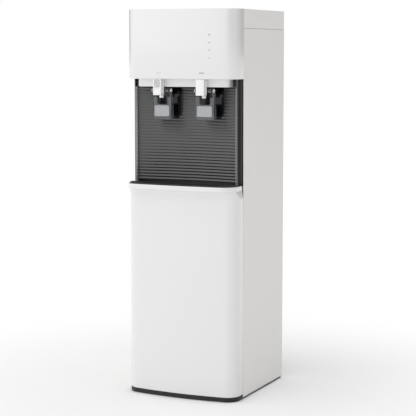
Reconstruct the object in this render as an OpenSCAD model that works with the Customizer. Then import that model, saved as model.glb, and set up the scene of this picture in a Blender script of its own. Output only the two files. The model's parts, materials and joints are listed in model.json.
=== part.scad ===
// Floor-standing hot and cold water dispenser, millimetres.
// The origin is on the floor under the middle of the machine, +Z up, front towards -Y.
// Modules work from the seam, the plane where the front mouldings meet the steel
// cabinet: Y = 0 there, the front is at -Y, and at_seam() moves it into the part's frame.

/* [Cabinet] */
// Width over the side panels
body_w = 310; // [256:1:380]
// Depth of the steel cabinet behind the seam
body_depth = 268; // [222:1:330]
// Overall height
body_h = 994; // [826:1:1200]
// Thickness of the sheet steel
sheet_t = 1.2; // [0.8:0.1:1.6]
// Height of the black plinth at the front
plinth_h = 12; // [10:1:20]
// Height of the rubber feet that show under the base pan
foot_gap = 1.5; // [1:0.5:4]
// Height of the lid on the cabinet
lid_h = 48; // [40:1:60]
// How far the rear panel stands inside the cabinet's back edges
rear_recess = 22; // [20:1:30]

/* [Front mouldings] */
// Height of the upper fascia
fascia_h = 175; // [150:1:220]
// How far the fascia stands ahead of the seam in the middle
front_bulge = 60; // [50:1:72]
// Radius of the gentle bow across the front
bow_r = 933; // [700:1:1500]
// Radius of the front's vertical corners
corner_r = 34; // [26:1:40]
// Wall thickness of the plastic mouldings
shell_t = 2.5; // [2:0.1:3]

/* [Alcove] */
// Height of the open alcove, from the rim of the drip tray to the fascia
alcove_h = 268; // [240:1:320]
// Height of the skirt that hangs under the fascia
skirt_h = 20; // [16:1:26]
// How far the skirt stands ahead of the seam
skirt_front = 39; // [36:1:42]
// Radius of the ribbed wall's hollow bow
wall_bow_r = 800; // [600:1:1400]
// How far the ribbed wall is behind the seam in the middle
wall_mid = 8; // [4:1:12]
// Distance from rib to rib
rib_pitch = 7.8; // [6:0.1:10]
// How far a rib stands out of the wall
rib_depth = 1.6; // [1:0.1:2]

/* [Drip tray] */
// How far the rim stands ahead of the seam
rim_front = 74; // [70:1:84]
// Height of the rim's upright face
rim_h = 12.5; // [10:0.5:16]
// Height of the cove that carries the rim
cove_h = 24; // [18:1:30]
// Thickness of the rim's lip
lip_t = 3; // [2.5:0.5:4]
// Depth of the well that the tray sits in
well_depth = 24; // [20:1:30]
// Clearance between the tray and its well, and between the grille and its tray
tray_clearance = 0.6; // [0.4:0.1:1]
// Width of the tray's flat border round the grille
tray_border = 7; // [6:0.5:8]
// How far the tray's border stands above the rim
tray_rise = 3.2; // [3:0.1:5]

/* [Taps] */
// Distance between the two taps
tap_spacing = 120; // [100:1:130]
// Width of a tap's front cover
cover_w = 23.6; // [20:0.2:28]
// Height of a tap's front cover
cover_h = 41; // [36:1:46]
// Depth of a tap's front cover
cover_depth = 19; // [15:1:20]
// Radius of the lever's hinge pin
pin_r = 2; // [1.5:0.1:2.4]
// Running clearance round pins and valve stems
running_gap = 0.05; // [0.02:0.01:0.1]
// Width of a lever
lever_w = 50; // [46:1:54]
// Height of a lever's paddle
paddle_h = 56; // [48:1:60]
// Radius of a valve stem
stem_r = 3; // [2.5:0.1:3.4]
// Radius of the outlet nozzle
nozzle_r = 5.3; // [4.8:0.1:6]

/* [Inside] */
// Radius of the cold tank
cold_tank_r = 54; // [45:1:54]
// Radius of the hot tank
hot_tank_r = 42; // [34:1:42]
// Height of both tanks
tank_h = 170; // [140:1:180]
// Radius of the compressor
compressor_r = 60; // [50:1:64]
// Radius of a filter cartridge
filter_r = 27; // [22:1:30]
// Length of a filter cartridge
filter_len = 240; // [180:1:250]

/* [Hidden] */
$fn = 64;

// General fits
fit_gap = 0.3;
seam_gap = 0.5;
eps = 1;

// Levels and widths that follow the driving sizes
half_w = body_w / 2;
inner_w = body_w - 2 * sheet_t;
fascia_z = body_h - fascia_h;
lid_z = body_h - lid_h;
rim_z = fascia_z - alcove_h;
rim_bottom_z = rim_z - rim_h;
cove_z = rim_bottom_z - cove_h;
deck_z = rim_z - well_depth;
rear_y = body_depth - rear_recess;

// Base pan, feet and side panels
side_foot_z = 5;
pan_back_gap = 11;
pan_wall = 4;
pan_floor = 3;
foot_r = 12;
foot_pocket = 1.5;
foot_x = half_w - 35;
foot_front_y = -20;
foot_back_y = rear_y - 25;
flange_w = 12;
lid_rib_t = 2;
lid_rib_drop = 8;

// Alcove
side_gap = 3;
cheek_t = 2.5;
cheek_in = half_w - 10 - cheek_t;
wall_corner_r = 15;
rib_angle = asin((cheek_in - wall_corner_r) / (wall_bow_r - wall_corner_r));
wall_corner_y = wall_mid - wall_bow_r + (wall_bow_r - wall_corner_r) * cos(rib_angle);
cheek_front = 0.6 - wall_corner_y;
wing_t = 2.5;
skirt_half_w = half_w - 27;
skirt_bow_r = 2000;
skirt_corner_r = 11;
skirt_back = -5;
skirt_bow_y = 3 - skirt_front;
ledge_z = rim_z - 5.5;
rib_low_z = rim_z + 5;
rib_count = floor((fascia_z - 6 - rib_low_z) / rib_pitch);

// Lower panel, drip tray and grille
panel_inset = 0.4;
rim_bow_r = 1500;
rim_corner_r = 38;
tray_half_w = half_w - side_gap - lip_t - tray_clearance;
tray_back = -25.5;
tray_wall = 2;
well_step = 9;
tray_top_z = rim_z + tray_rise;
grille_t = 2.5;
grille_drop = 0.5;
slot_pitch = 10;
slot_w = 5;

// Indicators
indicator_x = half_w - 60;
indicator_y = bow_r - front_bulge - sqrt(bow_r * bow_r - indicator_x * indicator_x);
indicator_zs = [for (i = [0:3]) fascia_z + 110.4 - i * 19.1];
light_r = 1.6;
light_len = shell_t + 0.6;

// Taps
tap_xs = [-tap_spacing / 2, tap_spacing / 2];
cover_low_z = fascia_z - cover_h;
cover_back_y = 0.2 - skirt_front;
cover_front_y = cover_back_y - cover_depth;
tap_z = cover_low_z + 12;
valve_r = 6.5;
valve_y = cover_back_y + valve_r + 0.3;
pivot_y = valve_y + 3;
barrel_r = 7;
barb_end_y = wall_mid + 22;
nut_y = wall_mid + shell_t + 1;
boss_r = 5;
arm_t = 2.6;
boss_reach = lever_w / 2 - arm_t - fit_gap;
pin_root = barrel_r + 1;
nozzle_len = 7;
stem_lift = 2.5;
button_w = 15.8;
button_h = 17.6;
button_gap = 0.4;
button_proud = 1;
button_z = cover_low_z + cover_h - 2.2 - button_h / 2;
plate_t = 1.4;
plate_half_w = 40;
plate_low_z = cover_low_z - 61;
paddle_top_z = cover_low_z - 5;
paddle_low_z = paddle_top_z - paddle_h;
arm_depth = 15;
arm_eye_r = 6;
cut_w = 30;
cut_depth = 18.5;
pad_w = 42;
pad_h = 27.7;
pad_t = 3;
pad_z = paddle_low_z + 6.8 + pad_h / 2;

// Tanks
shelf_z = fascia_z - 219;
shelf_lip = 15;
shelf_front_y = 40;
tank_z = shelf_z + 10;
foam_in_r = cold_tank_r + 8;
foam_r = foam_in_r + 10;
jacket_r = hot_tank_r + 10;
jacket_low = 60;
cold_x = jacket_r + 2;
hot_x = -foam_r - 2;
tank_y = rear_y - foam_r - 6;
tank_port = foam_r + 4;
coil_tube_r = 3;
coil_pitch = 14;
coil_turns = 9;

// Compressor
grommet_top_z = foot_gap + pan_floor + 10;
compressor_x = -50;
compressor_y = rear_y - compressor_r - 18;
compressor_top_z = 190;

// Filters
filter_y = 0;
filter_pitch = 2 * filter_r + 12;
manifold_z = rim_z - 80;

// Back of the machine
vent_count = 6;
vent_w = 60;
vent_h = 4;
vent_pitch = 12;
vent_x = half_w - 55;
vent_z = lid_z - 41;
board_z = lid_z - 86;
inlet_x = 90;
inlet_z = shelf_z - 70;
inlet_body_r = 9;
inlet_bore_r = 3.2;
condenser_low_z = 110;
condenser_pitch = 30;
condenser_half_w = half_w - 45;
condenser_runs = floor((inlet_z - 50 - condenser_low_z) / condenser_pitch);
wire_count = 15;
drain_x = 80;
drain_z = 45;
drain_r = 6;
power_x = -90;
power_z = 60;
power_w = 28;
power_h = 20;
switch_x = -80;
switch_z = shelf_z + 100;
switch_plate_w = 58;
switch_plate_h = 36;
rocker_w = 12;
rocker_h = 20;
rocker_xs = [switch_x - 12, switch_x + 12];
rocker_y = rear_y + sheet_t + 1.5;
rocker_tilt = 6;

// Plan outlines -----------------------------------------------------------------

// Points along an arc of radius r round c, from angle a0 to a1, in n steps
function arc(c, r, a0, a1, n) = [for (i = [0:n]) let (a = a0 + (a1 - a0) * i / n) c + r * [cos(a), sin(a)]];

// A bowed front with round corners: half width hw, reaching "front" ahead of the seam,
// with straight sides that run back to y = back
function bowed(hw, front, bow, corner, back) =
    let (
        cx = hw - corner,
        cy = bow - front - sqrt(pow(bow - corner, 2) - cx * cx),
        tilt = asin(cx / (bow - corner))
    )
    concat(
        [[-hw, back]],
        arc([-cx, cy], corner, 180, 270 - tilt, 10),
        arc([0, bow - front], bow, 270 - tilt, 270 + tilt, 20),
        arc([cx, cy], corner, 270 + tilt, 360, 10),
        [[hw, back]]
    );

function fascia_plan(inset, back) =
    bowed(half_w - inset, front_bulge - inset, bow_r - inset, corner_r - inset, back);
function rim_plan(inset, back) =
    bowed(half_w - side_gap - inset, rim_front - inset, rim_bow_r - inset, rim_corner_r - inset, back);
function skirt_plan(inset, back) =
    bowed(skirt_half_w - inset, skirt_front - inset, skirt_bow_r, skirt_corner_r - inset, back);
// The alcove's wall is a bowed outline turned round, so that it is hollow towards the front
function wall_plan(outset, front) =
    [for (p = bowed(cheek_in + outset, wall_mid + outset, wall_bow_r + outset, wall_corner_r + outset, front))
        [p[0], -p[1]]];

// Corners of a rectangle with round corners
function rounded(w, h, r) = concat(
    arc([w / 2 - r, h / 2 - r], r, 0, 90, 6),
    arc([r - w / 2, h / 2 - r], r, 90, 180, 6),
    arc([r - w / 2, r - h / 2], r, 180, 270, 6),
    arc([w / 2 - r, r - h / 2], r, 270, 360, 6)
);

// Building helpers --------------------------------------------------------------

module at_seam() translate([0, (rim_front - body_depth) / 2, 0]) children();

// A plate with the given plan, from z0 to z1
module plate(points, z0, z1) translate([0, 0, z0]) linear_extrude(z1 - z0) polygon(points);

// A block between two corners
module block(low, high) translate(low) cube(high - low);

// A cylinder along Y, from y0 to y1
module rod_y(x, z, r, y0, y1) translate([x, y0, z]) rotate([-90, 0, 0]) cylinder(r = r, h = y1 - y0);

// A cylinder along X, from x0 to x1
module rod_x(y, z, r, x0, x1) translate([x0, y, z]) rotate([0, 90, 0]) cylinder(r = r, h = x1 - x0);

// A slab with a rounded outline that faces the front, from y0 to y1
module front_slab(x, z, w, h, r, y0, y1)
    translate([x, y1, z]) rotate([90, 0, 0]) linear_extrude(y1 - y0) polygon(rounded(w, h, r));

// A tube swept round a helix along X
module coil_x(radius, wire_r, length, turns) {
    steps = 14;
    sides = 6;
    last = turns * steps;
    points = [for (i = [0:last], k = [0:sides - 1])
        let (a = 360 * i / steps, b = 360 * k / sides, r = radius + wire_r * cos(b))
        [length * i / last + wire_r * sin(b), r * cos(a), r * sin(a)]];
    walls = [for (i = [0:last - 1], k = [0:sides - 1])
        let (next = (k + 1) % sides)
        [i * sides + k, i * sides + next, (i + 1) * sides + next, (i + 1) * sides + k]];
    ends = [[for (k = [sides - 1:-1:0]) k], [for (k = [0:sides - 1]) last * sides + k]];
    polyhedron(points, concat(walls, ends), convexity = 10);
}

// Cabinet -----------------------------------------------------------------------

module base_pan() {
    back = body_depth - pan_back_gap;
    color("#1c1d1f") at_seam() difference() {
        union() {
            plate(fascia_plan(0, back), foot_gap, side_foot_z);
            plate(fascia_plan(0, 0), side_foot_z - eps, plinth_h);
            block([-inner_w / 2, -eps, side_foot_z - eps], [inner_w / 2, rear_y, plinth_h]);
        }
        plate(fascia_plan(pan_wall, rear_y - pan_wall), foot_gap + pan_floor, plinth_h + eps);
        for (x = [-foot_x, foot_x], y = [foot_front_y, foot_back_y])
            translate([x, y, 0]) cylinder(r = foot_r + fit_gap, h = foot_gap + foot_pocket);
    }
}

module feet()
    color("#2a2a2c") at_seam()
        for (x = [-foot_x, foot_x], y = [foot_front_y, foot_back_y])
            translate([x, y, 0]) cylinder(r = foot_r, h = foot_gap + foot_pocket);

module side_panel() {
    difference() {
        block([half_w - flange_w, seam_gap, side_foot_z], [half_w, body_depth, lid_z]);
        block([half_w - flange_w - eps, -eps, side_foot_z - eps],
            [half_w - sheet_t, body_depth - sheet_t, lid_z - sheet_t]);
    }
}
module side_panel_left() color("#e4e5e4") at_seam() mirror([1, 0, 0]) side_panel();
module side_panel_right() color("#e4e5e4") at_seam() side_panel();

module rear_panel()
    color("#d6d7d6") at_seam() difference() {
        block([-inner_w / 2, rear_y, side_foot_z], [inner_w / 2, rear_y + sheet_t, lid_z - sheet_t]);
        for (i = [0:vent_count - 1], s = [-1, 1])
            block([s * vent_x - vent_w / 2, rear_y - eps, vent_z - i * vent_pitch],
                [s * vent_x + vent_w / 2, rear_y + sheet_t + eps, vent_z - i * vent_pitch + vent_h]);
        rod_y(drain_x, drain_z, drain_r + fit_gap, rear_y - eps, rear_y + sheet_t + eps);
        rod_y(inlet_x, inlet_z, inlet_body_r + fit_gap, rear_y - eps, rear_y + sheet_t + eps);
        front_slab(switch_x, switch_z, switch_plate_w - 6, switch_plate_h - 6, 2,
            rear_y - eps, rear_y + sheet_t + eps);
        front_slab(power_x, power_z, power_w + 2 * fit_gap, power_h + 2 * fit_gap, 2,
            rear_y - eps, rear_y + sheet_t + eps);
    }

module top_lid()
    color("#e9e9e8") at_seam() {
        difference() {
            block([-half_w, seam_gap, lid_z + fit_gap], [half_w, body_depth, body_h]);
            block([shell_t - half_w, seam_gap + shell_t, lid_z - eps],
                [half_w - shell_t, body_depth - shell_t, body_h - shell_t]);
        }
        // Ribs that drop inside the side panels' flanges and keep the lid in place
        for (s = [-1, 1]) {
            x = s * (half_w - flange_w - lid_rib_t);
            block([x - lid_rib_t / 2, 20, lid_z - lid_rib_drop], [x + lid_rib_t / 2, rear_y - 20, body_h - 1]);
        }
    }

// Front mouldings ---------------------------------------------------------------

module upper_fascia()
    color("#f1f1f0") at_seam() difference() {
        plate(fascia_plan(0, 0), fascia_z, body_h);
        plate(fascia_plan(shell_t, eps), fascia_z + shell_t, body_h - shell_t);
        for (z = indicator_zs) rod_y(indicator_x, z, light_r + 0.1, -front_bulge - eps, -front_bulge / 2);
    }

// Where the inside of the fascia's front is at a distance x from the middle
function fascia_inner_y(x) = bow_r - front_bulge - sqrt(pow(bow_r - shell_t, 2) - x * x);

module indicator_lights()
    color("#9fc7e8") at_seam()
        for (z = indicator_zs) rod_y(indicator_x, z, light_r, indicator_y - 0.1, indicator_y + light_len);

module indicator_board()
    color("#2f6b45") at_seam() {
        y = indicator_y + light_len + 1.6;
        z_low = indicator_zs[len(indicator_zs) - 1] - 12;
        z_high = indicator_zs[0] + 12;
        post_x = indicator_x - 10;
        block([indicator_x - 14, y, z_low], [indicator_x + 10, y + 1.6, z_high]);
        for (z = indicator_zs) block([indicator_x - 2, y - 1.6, z - 2], [indicator_x + 2, y + 0.1, z + 2]);
        for (z = [z_low + 4, z_high - 4]) rod_y(post_x, z, 2, fascia_inner_y(post_x + 2), y + 0.1);
    }

module tap_skirt()
    color("#efefee") at_seam() difference() {
        plate(skirt_plan(0, skirt_back), fascia_z - skirt_h, fascia_z);
        plate(skirt_plan(shell_t, skirt_back + eps), fascia_z - skirt_h + shell_t, fascia_z + eps);
    }

module splash_panel()
    color("#1b1c1e") at_seam() difference() {
        union() {
            // Wall and cheeks, hollow towards the front, with flat seats behind for the tap nuts
            difference() {
                union() {
                    plate(wall_plan(cheek_t, cheek_front), ledge_z, fascia_z);
                    for (x = tap_xs) rod_y(x, tap_z, 15, 0, nut_y);
                }
                plate(wall_plan(0, cheek_front + eps), ledge_z - eps, fascia_z + eps);
            }
            // Ribs, turned about the bow's own centre
            translate([0, wall_mid - wall_bow_r, 0]) rotate(90 - rib_angle)
                rotate_extrude(angle = 2 * rib_angle, $fn = 720) polygon(rib_points());
            // Plain outer sides, and wings that close the gap out to the side panels
            for (s = [0, 1]) mirror([s, 0, 0]) {
                block([cheek_in + 0.1, -cheek_front, ledge_z], [cheek_in + cheek_t, -seam_gap, fascia_z]);
                block([cheek_in + 1, -wing_t - seam_gap, rim_z],
                    [half_w - side_gap, -seam_gap, fascia_z]);
            }
            // Ledge behind the drip tray
            plate(ledge_plan(), ledge_z, ledge_z + shell_t);
        }
        for (x = tap_xs) rod_y(x, tap_z, barrel_r + fit_gap, -skirt_front, wall_mid + 10);
    }

function rib_points() = concat(
    [[wall_bow_r + 1, rib_low_z - 1]],
    [for (i = [0:rib_count - 1],
        p = [[0, 0], [-rib_depth, 1.2], [-rib_depth, rib_pitch - 3], [0, rib_pitch - 1.8]])
        [wall_bow_r + p[0], rib_low_z + i * rib_pitch + p[1]]],
    [[wall_bow_r + 1, rib_low_z + rib_count * rib_pitch]]
);

function ledge_plan() = concat(
    [[-tray_half_w, tray_back + fit_gap], [-tray_half_w, -seam_gap], [-cheek_in - 1, -seam_gap]],
    wall_plan(1, cheek_front),
    [[cheek_in + 1, -seam_gap], [tray_half_w, -seam_gap], [tray_half_w, tray_back + fit_gap]]
);

module lower_front_panel()
    color("#f1f1f0") at_seam() difference() {
        union() {
            plate(fascia_plan(panel_inset, 0), plinth_h, cove_z + eps);
            hull() {
                plate(fascia_plan(panel_inset, 0), cove_z, cove_z + eps);
                plate(rim_plan(0, 0), rim_bottom_z - 0.1, rim_bottom_z);
            }
            plate(rim_plan(0, 0), rim_bottom_z - 0.1, rim_z);
        }
        plate(fascia_plan(panel_inset + shell_t, eps), plinth_h - eps, deck_z - shell_t);
        plate(rim_plan(lip_t, eps), rim_bottom_z, rim_z + eps);
        plate(rim_plan(lip_t + well_step, eps), deck_z, rim_z);
    }

module drip_tray()
    color("#202124") at_seam() {
        outer = lip_t + tray_clearance;
        recess = outer + tray_border;
        basin = outer + well_step + tray_wall;
        step_z = rim_bottom_z + fit_gap;
        difference() {
            union() {
                plate(rim_plan(outer, tray_back), step_z, tray_top_z);
                plate(rim_plan(outer + well_step, tray_back), deck_z + fit_gap, step_z + eps);
            }
            plate(rim_plan(recess, tray_back - tray_wall), step_z + tray_wall, tray_top_z + eps);
            plate(rim_plan(basin, tray_back - tray_wall), deck_z + fit_gap + tray_wall, tray_top_z);
            // The border is hollow from below
            difference() {
                plate(rim_plan(outer + tray_wall, tray_back - tray_wall), step_z - eps, tray_top_z - tray_wall);
                plate(rim_plan(recess - tray_wall, tray_back), step_z - 2 * eps, tray_top_z);
            }
        }
        // Posts that carry the grille
        for (x = [-tray_half_w * 0.6, 0, tray_half_w * 0.6])
            translate([x, (tray_back - rim_front) / 2, deck_z + tray_wall])
                cylinder(r = 4, h = tray_top_z - grille_drop - grille_t - fit_gap - deck_z - tray_wall);
    }

module drip_grille()
    color("#26272a") at_seam() {
        low = tray_top_z - grille_drop - grille_t;
        inset = lip_t + 2 * tray_clearance + tray_border;
        back = tray_back - tray_wall - tray_clearance;
        slots = floor((tray_half_w - rim_corner_r) / slot_pitch);
        difference() {
            plate(rim_plan(inset, back), low, low + grille_t);
            for (i = [-slots:slots])
                block([i * slot_pitch - slot_w / 2, inset + 7 - rim_front, low - eps],
                    [i * slot_pitch + slot_w / 2, back - 5, low + grille_t + eps]);
        }
    }

// Taps --------------------------------------------------------------------------

// A smooth plate bowed like the wall, with a round lower end, over the ribs
module tap_plate(x)
    color("#141517") at_seam() difference() {
        intersection() {
            translate([0, wall_mid - wall_bow_r, 0]) rotate(90 - rib_angle)
                rotate_extrude(angle = 2 * rib_angle, $fn = 720)
                    translate([wall_bow_r - rib_depth - plate_t, rim_z])
                        square([plate_t - 0.05, alcove_h - skirt_h]);
            union() {
                block([x - plate_half_w, -skirt_front, plate_low_z + plate_half_w * 0.5],
                    [x + plate_half_w, wall_mid + 5, fascia_z - skirt_h - fit_gap]);
                front_slab(x, plate_low_z + plate_half_w * 0.5, 2 * plate_half_w, plate_half_w,
                    plate_half_w * 0.5 - 0.1, -skirt_front, wall_mid + 5);
            }
        }
        rod_y(x, tap_z, barrel_r + fit_gap, -skirt_front, wall_mid + 10);
    }
module tap_plate_hot() tap_plate(-tap_spacing / 2);
module tap_plate_cold() tap_plate(tap_spacing / 2);

// Horizontal barrel through the wall, upright valve barrel and the bosses of the hinge
module tap_body(x)
    color("#2b2d30") at_seam() difference() {
        union() {
            rod_y(x, tap_z, barrel_r, valve_y, barb_end_y);
            translate([x, valve_y, cover_low_z])
                cylinder(r = valve_r, h = fascia_z - skirt_h - fit_gap - cover_low_z);
            rod_x(pivot_y, tap_z, boss_r, x - boss_reach, x + boss_reach);
        }
        translate([x, valve_y, cover_low_z - eps])
            cylinder(r = stem_r + running_gap, h = fascia_z - skirt_h - 2 - cover_low_z + eps);
        rod_y(x, tap_z, 2.5, valve_y, barb_end_y + eps);
        for (s = [-1, 1])
            rod_x(pivot_y, tap_z, pin_r, min(x + s * pin_root, x + s * (boss_reach + eps)),
                max(x + s * pin_root, x + s * (boss_reach + eps)));
    }
module tap_body_hot() tap_body(-tap_spacing / 2);
module tap_body_cold() tap_body(tap_spacing / 2);

module tap_nuts()
    color("#d9d9d7") at_seam() for (x = tap_xs) difference() {
        translate([x, nut_y, tap_z]) rotate([-90, 0, 0]) cylinder(r = 13, h = 6, $fn = 6);
        rod_y(x, tap_z, barrel_r + running_gap, nut_y - eps, nut_y + 6 + eps);
    }

module nozzle(x)
    color("#f4f4f3") at_seam() translate([x, valve_y, cover_low_z - nozzle_len]) difference() {
        cylinder(r = nozzle_r, h = nozzle_len);
        translate([0, 0, -eps]) cylinder(r = stem_r, h = nozzle_len + 2 * eps);
    }
module nozzle_hot() nozzle(-tap_spacing / 2);
module nozzle_cold() nozzle(tap_spacing / 2);

// Front cover of a tap, open at the back
module tap_cover(x)
    difference() {
        translate([x, cover_back_y - cover_depth / 2, cover_low_z])
            linear_extrude(cover_h - fit_gap) polygon(rounded(cover_w, cover_depth, 3));
        block([x - cover_w / 2 + 2, cover_front_y + 2, cover_low_z + 2],
            [x + cover_w / 2 - 2, cover_back_y + eps, fascia_z - 1.5]);
    }

// Tongue behind a cover, cut to the skirt's bow
module cover_tongue(x)
    difference() {
        block([x - cover_w / 2 + 1.5, cover_back_y - 1, fascia_z - skirt_h + 2],
            [x + cover_w / 2 - 1.5, skirt_bow_y, fascia_z - 3]);
        plate(skirt_plan(0, skirt_back), fascia_z - skirt_h, fascia_z);
    }
module tap_cover_hot() color("#f4f4f3") at_seam() {
    difference() {
        tap_cover(-tap_spacing / 2);
        front_slab(-tap_spacing / 2, button_z, button_w + 2 * button_gap, button_h + 2 * button_gap, 3.4,
            cover_front_y - eps, cover_front_y + 5);
    }
    cover_tongue(-tap_spacing / 2);
}
module tap_cover_cold() color("#f4f4f3") at_seam() {
    tap_cover(tap_spacing / 2);
    cover_tongue(tap_spacing / 2);
}

// Safety lock of the hot tap, with a flange that keeps it in its cover
module lock_button()
    color("#a9abae") at_seam() {
        front_slab(-tap_spacing / 2, button_z, button_w, button_h, 3,
            cover_front_y - button_proud, cover_front_y + 3.4);
        front_slab(-tap_spacing / 2, button_z, cover_w - 5, button_h, 2, cover_front_y + 2.4, cover_front_y + 3.8);
    }

// A lever: two arms on the hinge pins, a cut-out under the nozzle and a paddle
module lever(x) {
    plate_y = pivot_y + 1;
    difference() {
        union() {
            for (s = [-1, 1])
                translate([x + s * (lever_w / 2 - arm_t / 2) - arm_t / 2, 0, 0])
                    rotate([90, 0, 90]) linear_extrude(arm_t) union() {
                        polygon([
                            [plate_y, paddle_low_z + 2], [plate_y + 2, paddle_low_z],
                            [plate_y + arm_depth - 6, paddle_low_z], [plate_y + arm_depth, paddle_low_z + 8],
                            [plate_y + arm_depth, paddle_low_z + 34], [pivot_y + arm_eye_r, tap_z],
                            [pivot_y - arm_eye_r, tap_z], [plate_y, paddle_top_z]
                        ]);
                        translate([pivot_y, tap_z]) circle(r = arm_eye_r);
                    }
            front_slab(x, (paddle_low_z + paddle_top_z) / 2, lever_w - 0.1, paddle_h, 5, plate_y, plate_y + 2.5);
        }
        front_slab(x, paddle_top_z, cut_w, 2 * cut_depth, 5, plate_y - eps, plate_y + 2.5 + eps);
        rod_x(pivot_y, tap_z, pin_r + running_gap, x - lever_w, x + lever_w);
    }
}
module lever_hot() color("#8d9196") at_seam() lever(-tap_spacing / 2);
module lever_cold() color("#8d9196") at_seam() lever(tap_spacing / 2);

module lever_pad(x)
    color("#b4b6b9") at_seam()
        front_slab(x, pad_z, pad_w, pad_h, 4, pivot_y + 1 - pad_t, pivot_y + 1);
module lever_pad_hot() lever_pad(-tap_spacing / 2);
module lever_pad_cold() lever_pad(tap_spacing / 2);

// Stub pins pressed into the tap body, with a cap outside each arm
module hinge_pins(x)
    color("#f4f4f3") at_seam() for (s = [-1, 1]) {
        root = x + s * (pin_root + 0.5);
        cap = x + s * (lever_w / 2 + fit_gap);
        tip = cap + s * 2;
        rod_x(pivot_y, tap_z, pin_r - 0.01, min(root, tip), max(root, tip));
        rod_x(pivot_y, tap_z, pin_r + 2.6, min(cap, tip), max(cap, tip));
    }
module hinge_pins_hot() hinge_pins(-tap_spacing / 2);
module hinge_pins_cold() hinge_pins(tap_spacing / 2);

module lever_spring(x)
    color("#c9cbcd") at_seam()
        for (s = [-1, 1])
            translate([x + s * (boss_reach - 6.5) - 4.5, pivot_y, tap_z]) coil_x(boss_r + 1, 0.5, 9, 4);
module lever_spring_hot() lever_spring(-tap_spacing / 2);
module lever_spring_cold() lever_spring(tap_spacing / 2);

module valve_stem(x)
    color("#e8e8e6") at_seam() translate([x, valve_y, cover_low_z + 0.5])
        cylinder(r = stem_r, h = fascia_z - skirt_h - 2 - cover_low_z - 0.5 - stem_lift - fit_gap);
module valve_stem_hot() valve_stem(-tap_spacing / 2);
module valve_stem_cold() valve_stem(tap_spacing / 2);

// Tanks and water path ----------------------------------------------------------

module tank_shelf()
    color("#b9bcbf") at_seam() difference() {
        block([-inner_w / 2, shelf_front_y, shelf_z - shelf_lip], [inner_w / 2, rear_y, shelf_z]);
        block([-inner_w / 2 + sheet_t, shelf_front_y + sheet_t, shelf_z - shelf_lip - eps],
            [inner_w / 2 - sheet_t, rear_y + eps, shelf_z - sheet_t]);
    }

// A tank with domed ends and a port towards its tap
module tank(x, r, port_x)
    translate([x, tank_y, 0]) {
        rotate_extrude() polygon(concat(
            [[0, tank_z]], arc([r - 12, tank_z + 12], 12, 270, 360, 6),
            arc([r - 12, tank_z + tank_h - 12], 12, 0, 90, 6), [[0, tank_z + tank_h]]
        ));
        rod_y(port_x - x, tap_z - 20, 5, -tank_port, 0);
    }
module cold_tank() color("#c9ccce") at_seam() tank(cold_x, cold_tank_r, tap_spacing / 2);
module hot_tank() color("#c9ccce") at_seam() {
    tank(hot_x, hot_tank_r, -tap_spacing / 2);
    for (a = [90:120:330])
        translate([hot_x, tank_y, shelf_z]) rotate(a) translate([hot_tank_r - 20, 0, 0]) cylinder(r = 4, h = 14);
}

module evaporator_coil()
    color("#b8703c") at_seam() translate([cold_x, tank_y, 0]) {
        for (i = [0:coil_turns - 1])
            translate([0, 0, tank_z + 24 + i * coil_pitch])
                rotate_extrude() translate([cold_tank_r + coil_tube_r + 0.8, 0]) circle(r = coil_tube_r, $fn = 24);
        translate([cold_tank_r + coil_tube_r + 0.8, 0, tank_z + 24])
            cylinder(r = coil_tube_r - 0.6, h = (coil_turns - 1) * coil_pitch, $fn = 24);
    }

module cold_tank_foam()
    color("#e6e2d6") at_seam() difference() {
        translate([cold_x, tank_y, shelf_z]) cylinder(r = foam_r, h = tank_h + tank_z - shelf_z + 8);
        translate([cold_x, tank_y, tank_z]) cylinder(r = foam_in_r, h = tank_h);
        rod_y(tap_spacing / 2, tap_z - 20, 5.5, tank_y - tank_port - eps, tank_y);
    }

module hot_tank_jacket()
    color("#8f9396") at_seam() difference() {
        translate([hot_x, tank_y, tank_z + jacket_low]) cylinder(r = jacket_r, h = tank_h - jacket_low - 12);
        translate([hot_x, tank_y, tank_z]) cylinder(r = hot_tank_r + 0.05, h = tank_h);
        rod_y(-tap_spacing / 2, tap_z - 20, 5.5, tank_y - tank_port - eps, tank_y);
    }

module heater_band()
    color("#7b7f83") at_seam() difference() {
        translate([hot_x, tank_y, tank_z + 16]) cylinder(r = hot_tank_r + 3.5, h = 30);
        translate([hot_x, tank_y, tank_z]) cylinder(r = hot_tank_r + 0.05, h = tank_h);
        block([hot_x - 2, tank_y - hot_tank_r - 10, tank_z], [hot_x + 2, tank_y - hot_tank_r + 10, tank_z + 60]);
    }

module thermostats()
    color("#d9d5c8") at_seam() for (s = [-1, 1]) translate([hot_x + s * 14, tank_y, tank_z + tank_h + 0.05]) {
        cylinder(r = 8, h = 6);
        translate([0, 0, 5]) cylinder(r = 4, h = 6);
    }

// Short hoses from the tanks' ports up to the taps' barbs
module water_tubes()
    color("#dfe3e6") at_seam() for (x = tap_xs) {
        y = barb_end_y + 8;
        rod_y(x, tap_z, 4, barb_end_y + 0.1, y);
        translate([x, y, tap_z]) sphere(r = 4);
        translate([x, y, tap_z - 20]) cylinder(r = 4, h = 20);
        translate([x, y, tap_z - 20]) sphere(r = 4);
        rod_y(x, tap_z - 20, 4, y, tank_y - tank_port - 0.1);
    }

// Cooling -----------------------------------------------------------------------

module compressor()
    color("#17181a") at_seam() translate([compressor_x, compressor_y, 0]) {
        translate([-72, -48, grommet_top_z]) cube([144, 96, 3]);
        rotate_extrude() polygon(concat(
            [[0, grommet_top_z + 3]], arc([compressor_r - 26, grommet_top_z + 29], 26, 270, 360, 8),
            arc([compressor_r - 34, compressor_top_z - 34], 34, 0, 90, 8), [[0, compressor_top_z]]
        ));
        rotate_extrude() translate([compressor_r - 1, grommet_top_z + 68]) square([4, 5]);
        translate([-16, -compressor_r - 14, grommet_top_z + 70]) cube([32, 22, 34]);
    }

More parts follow.
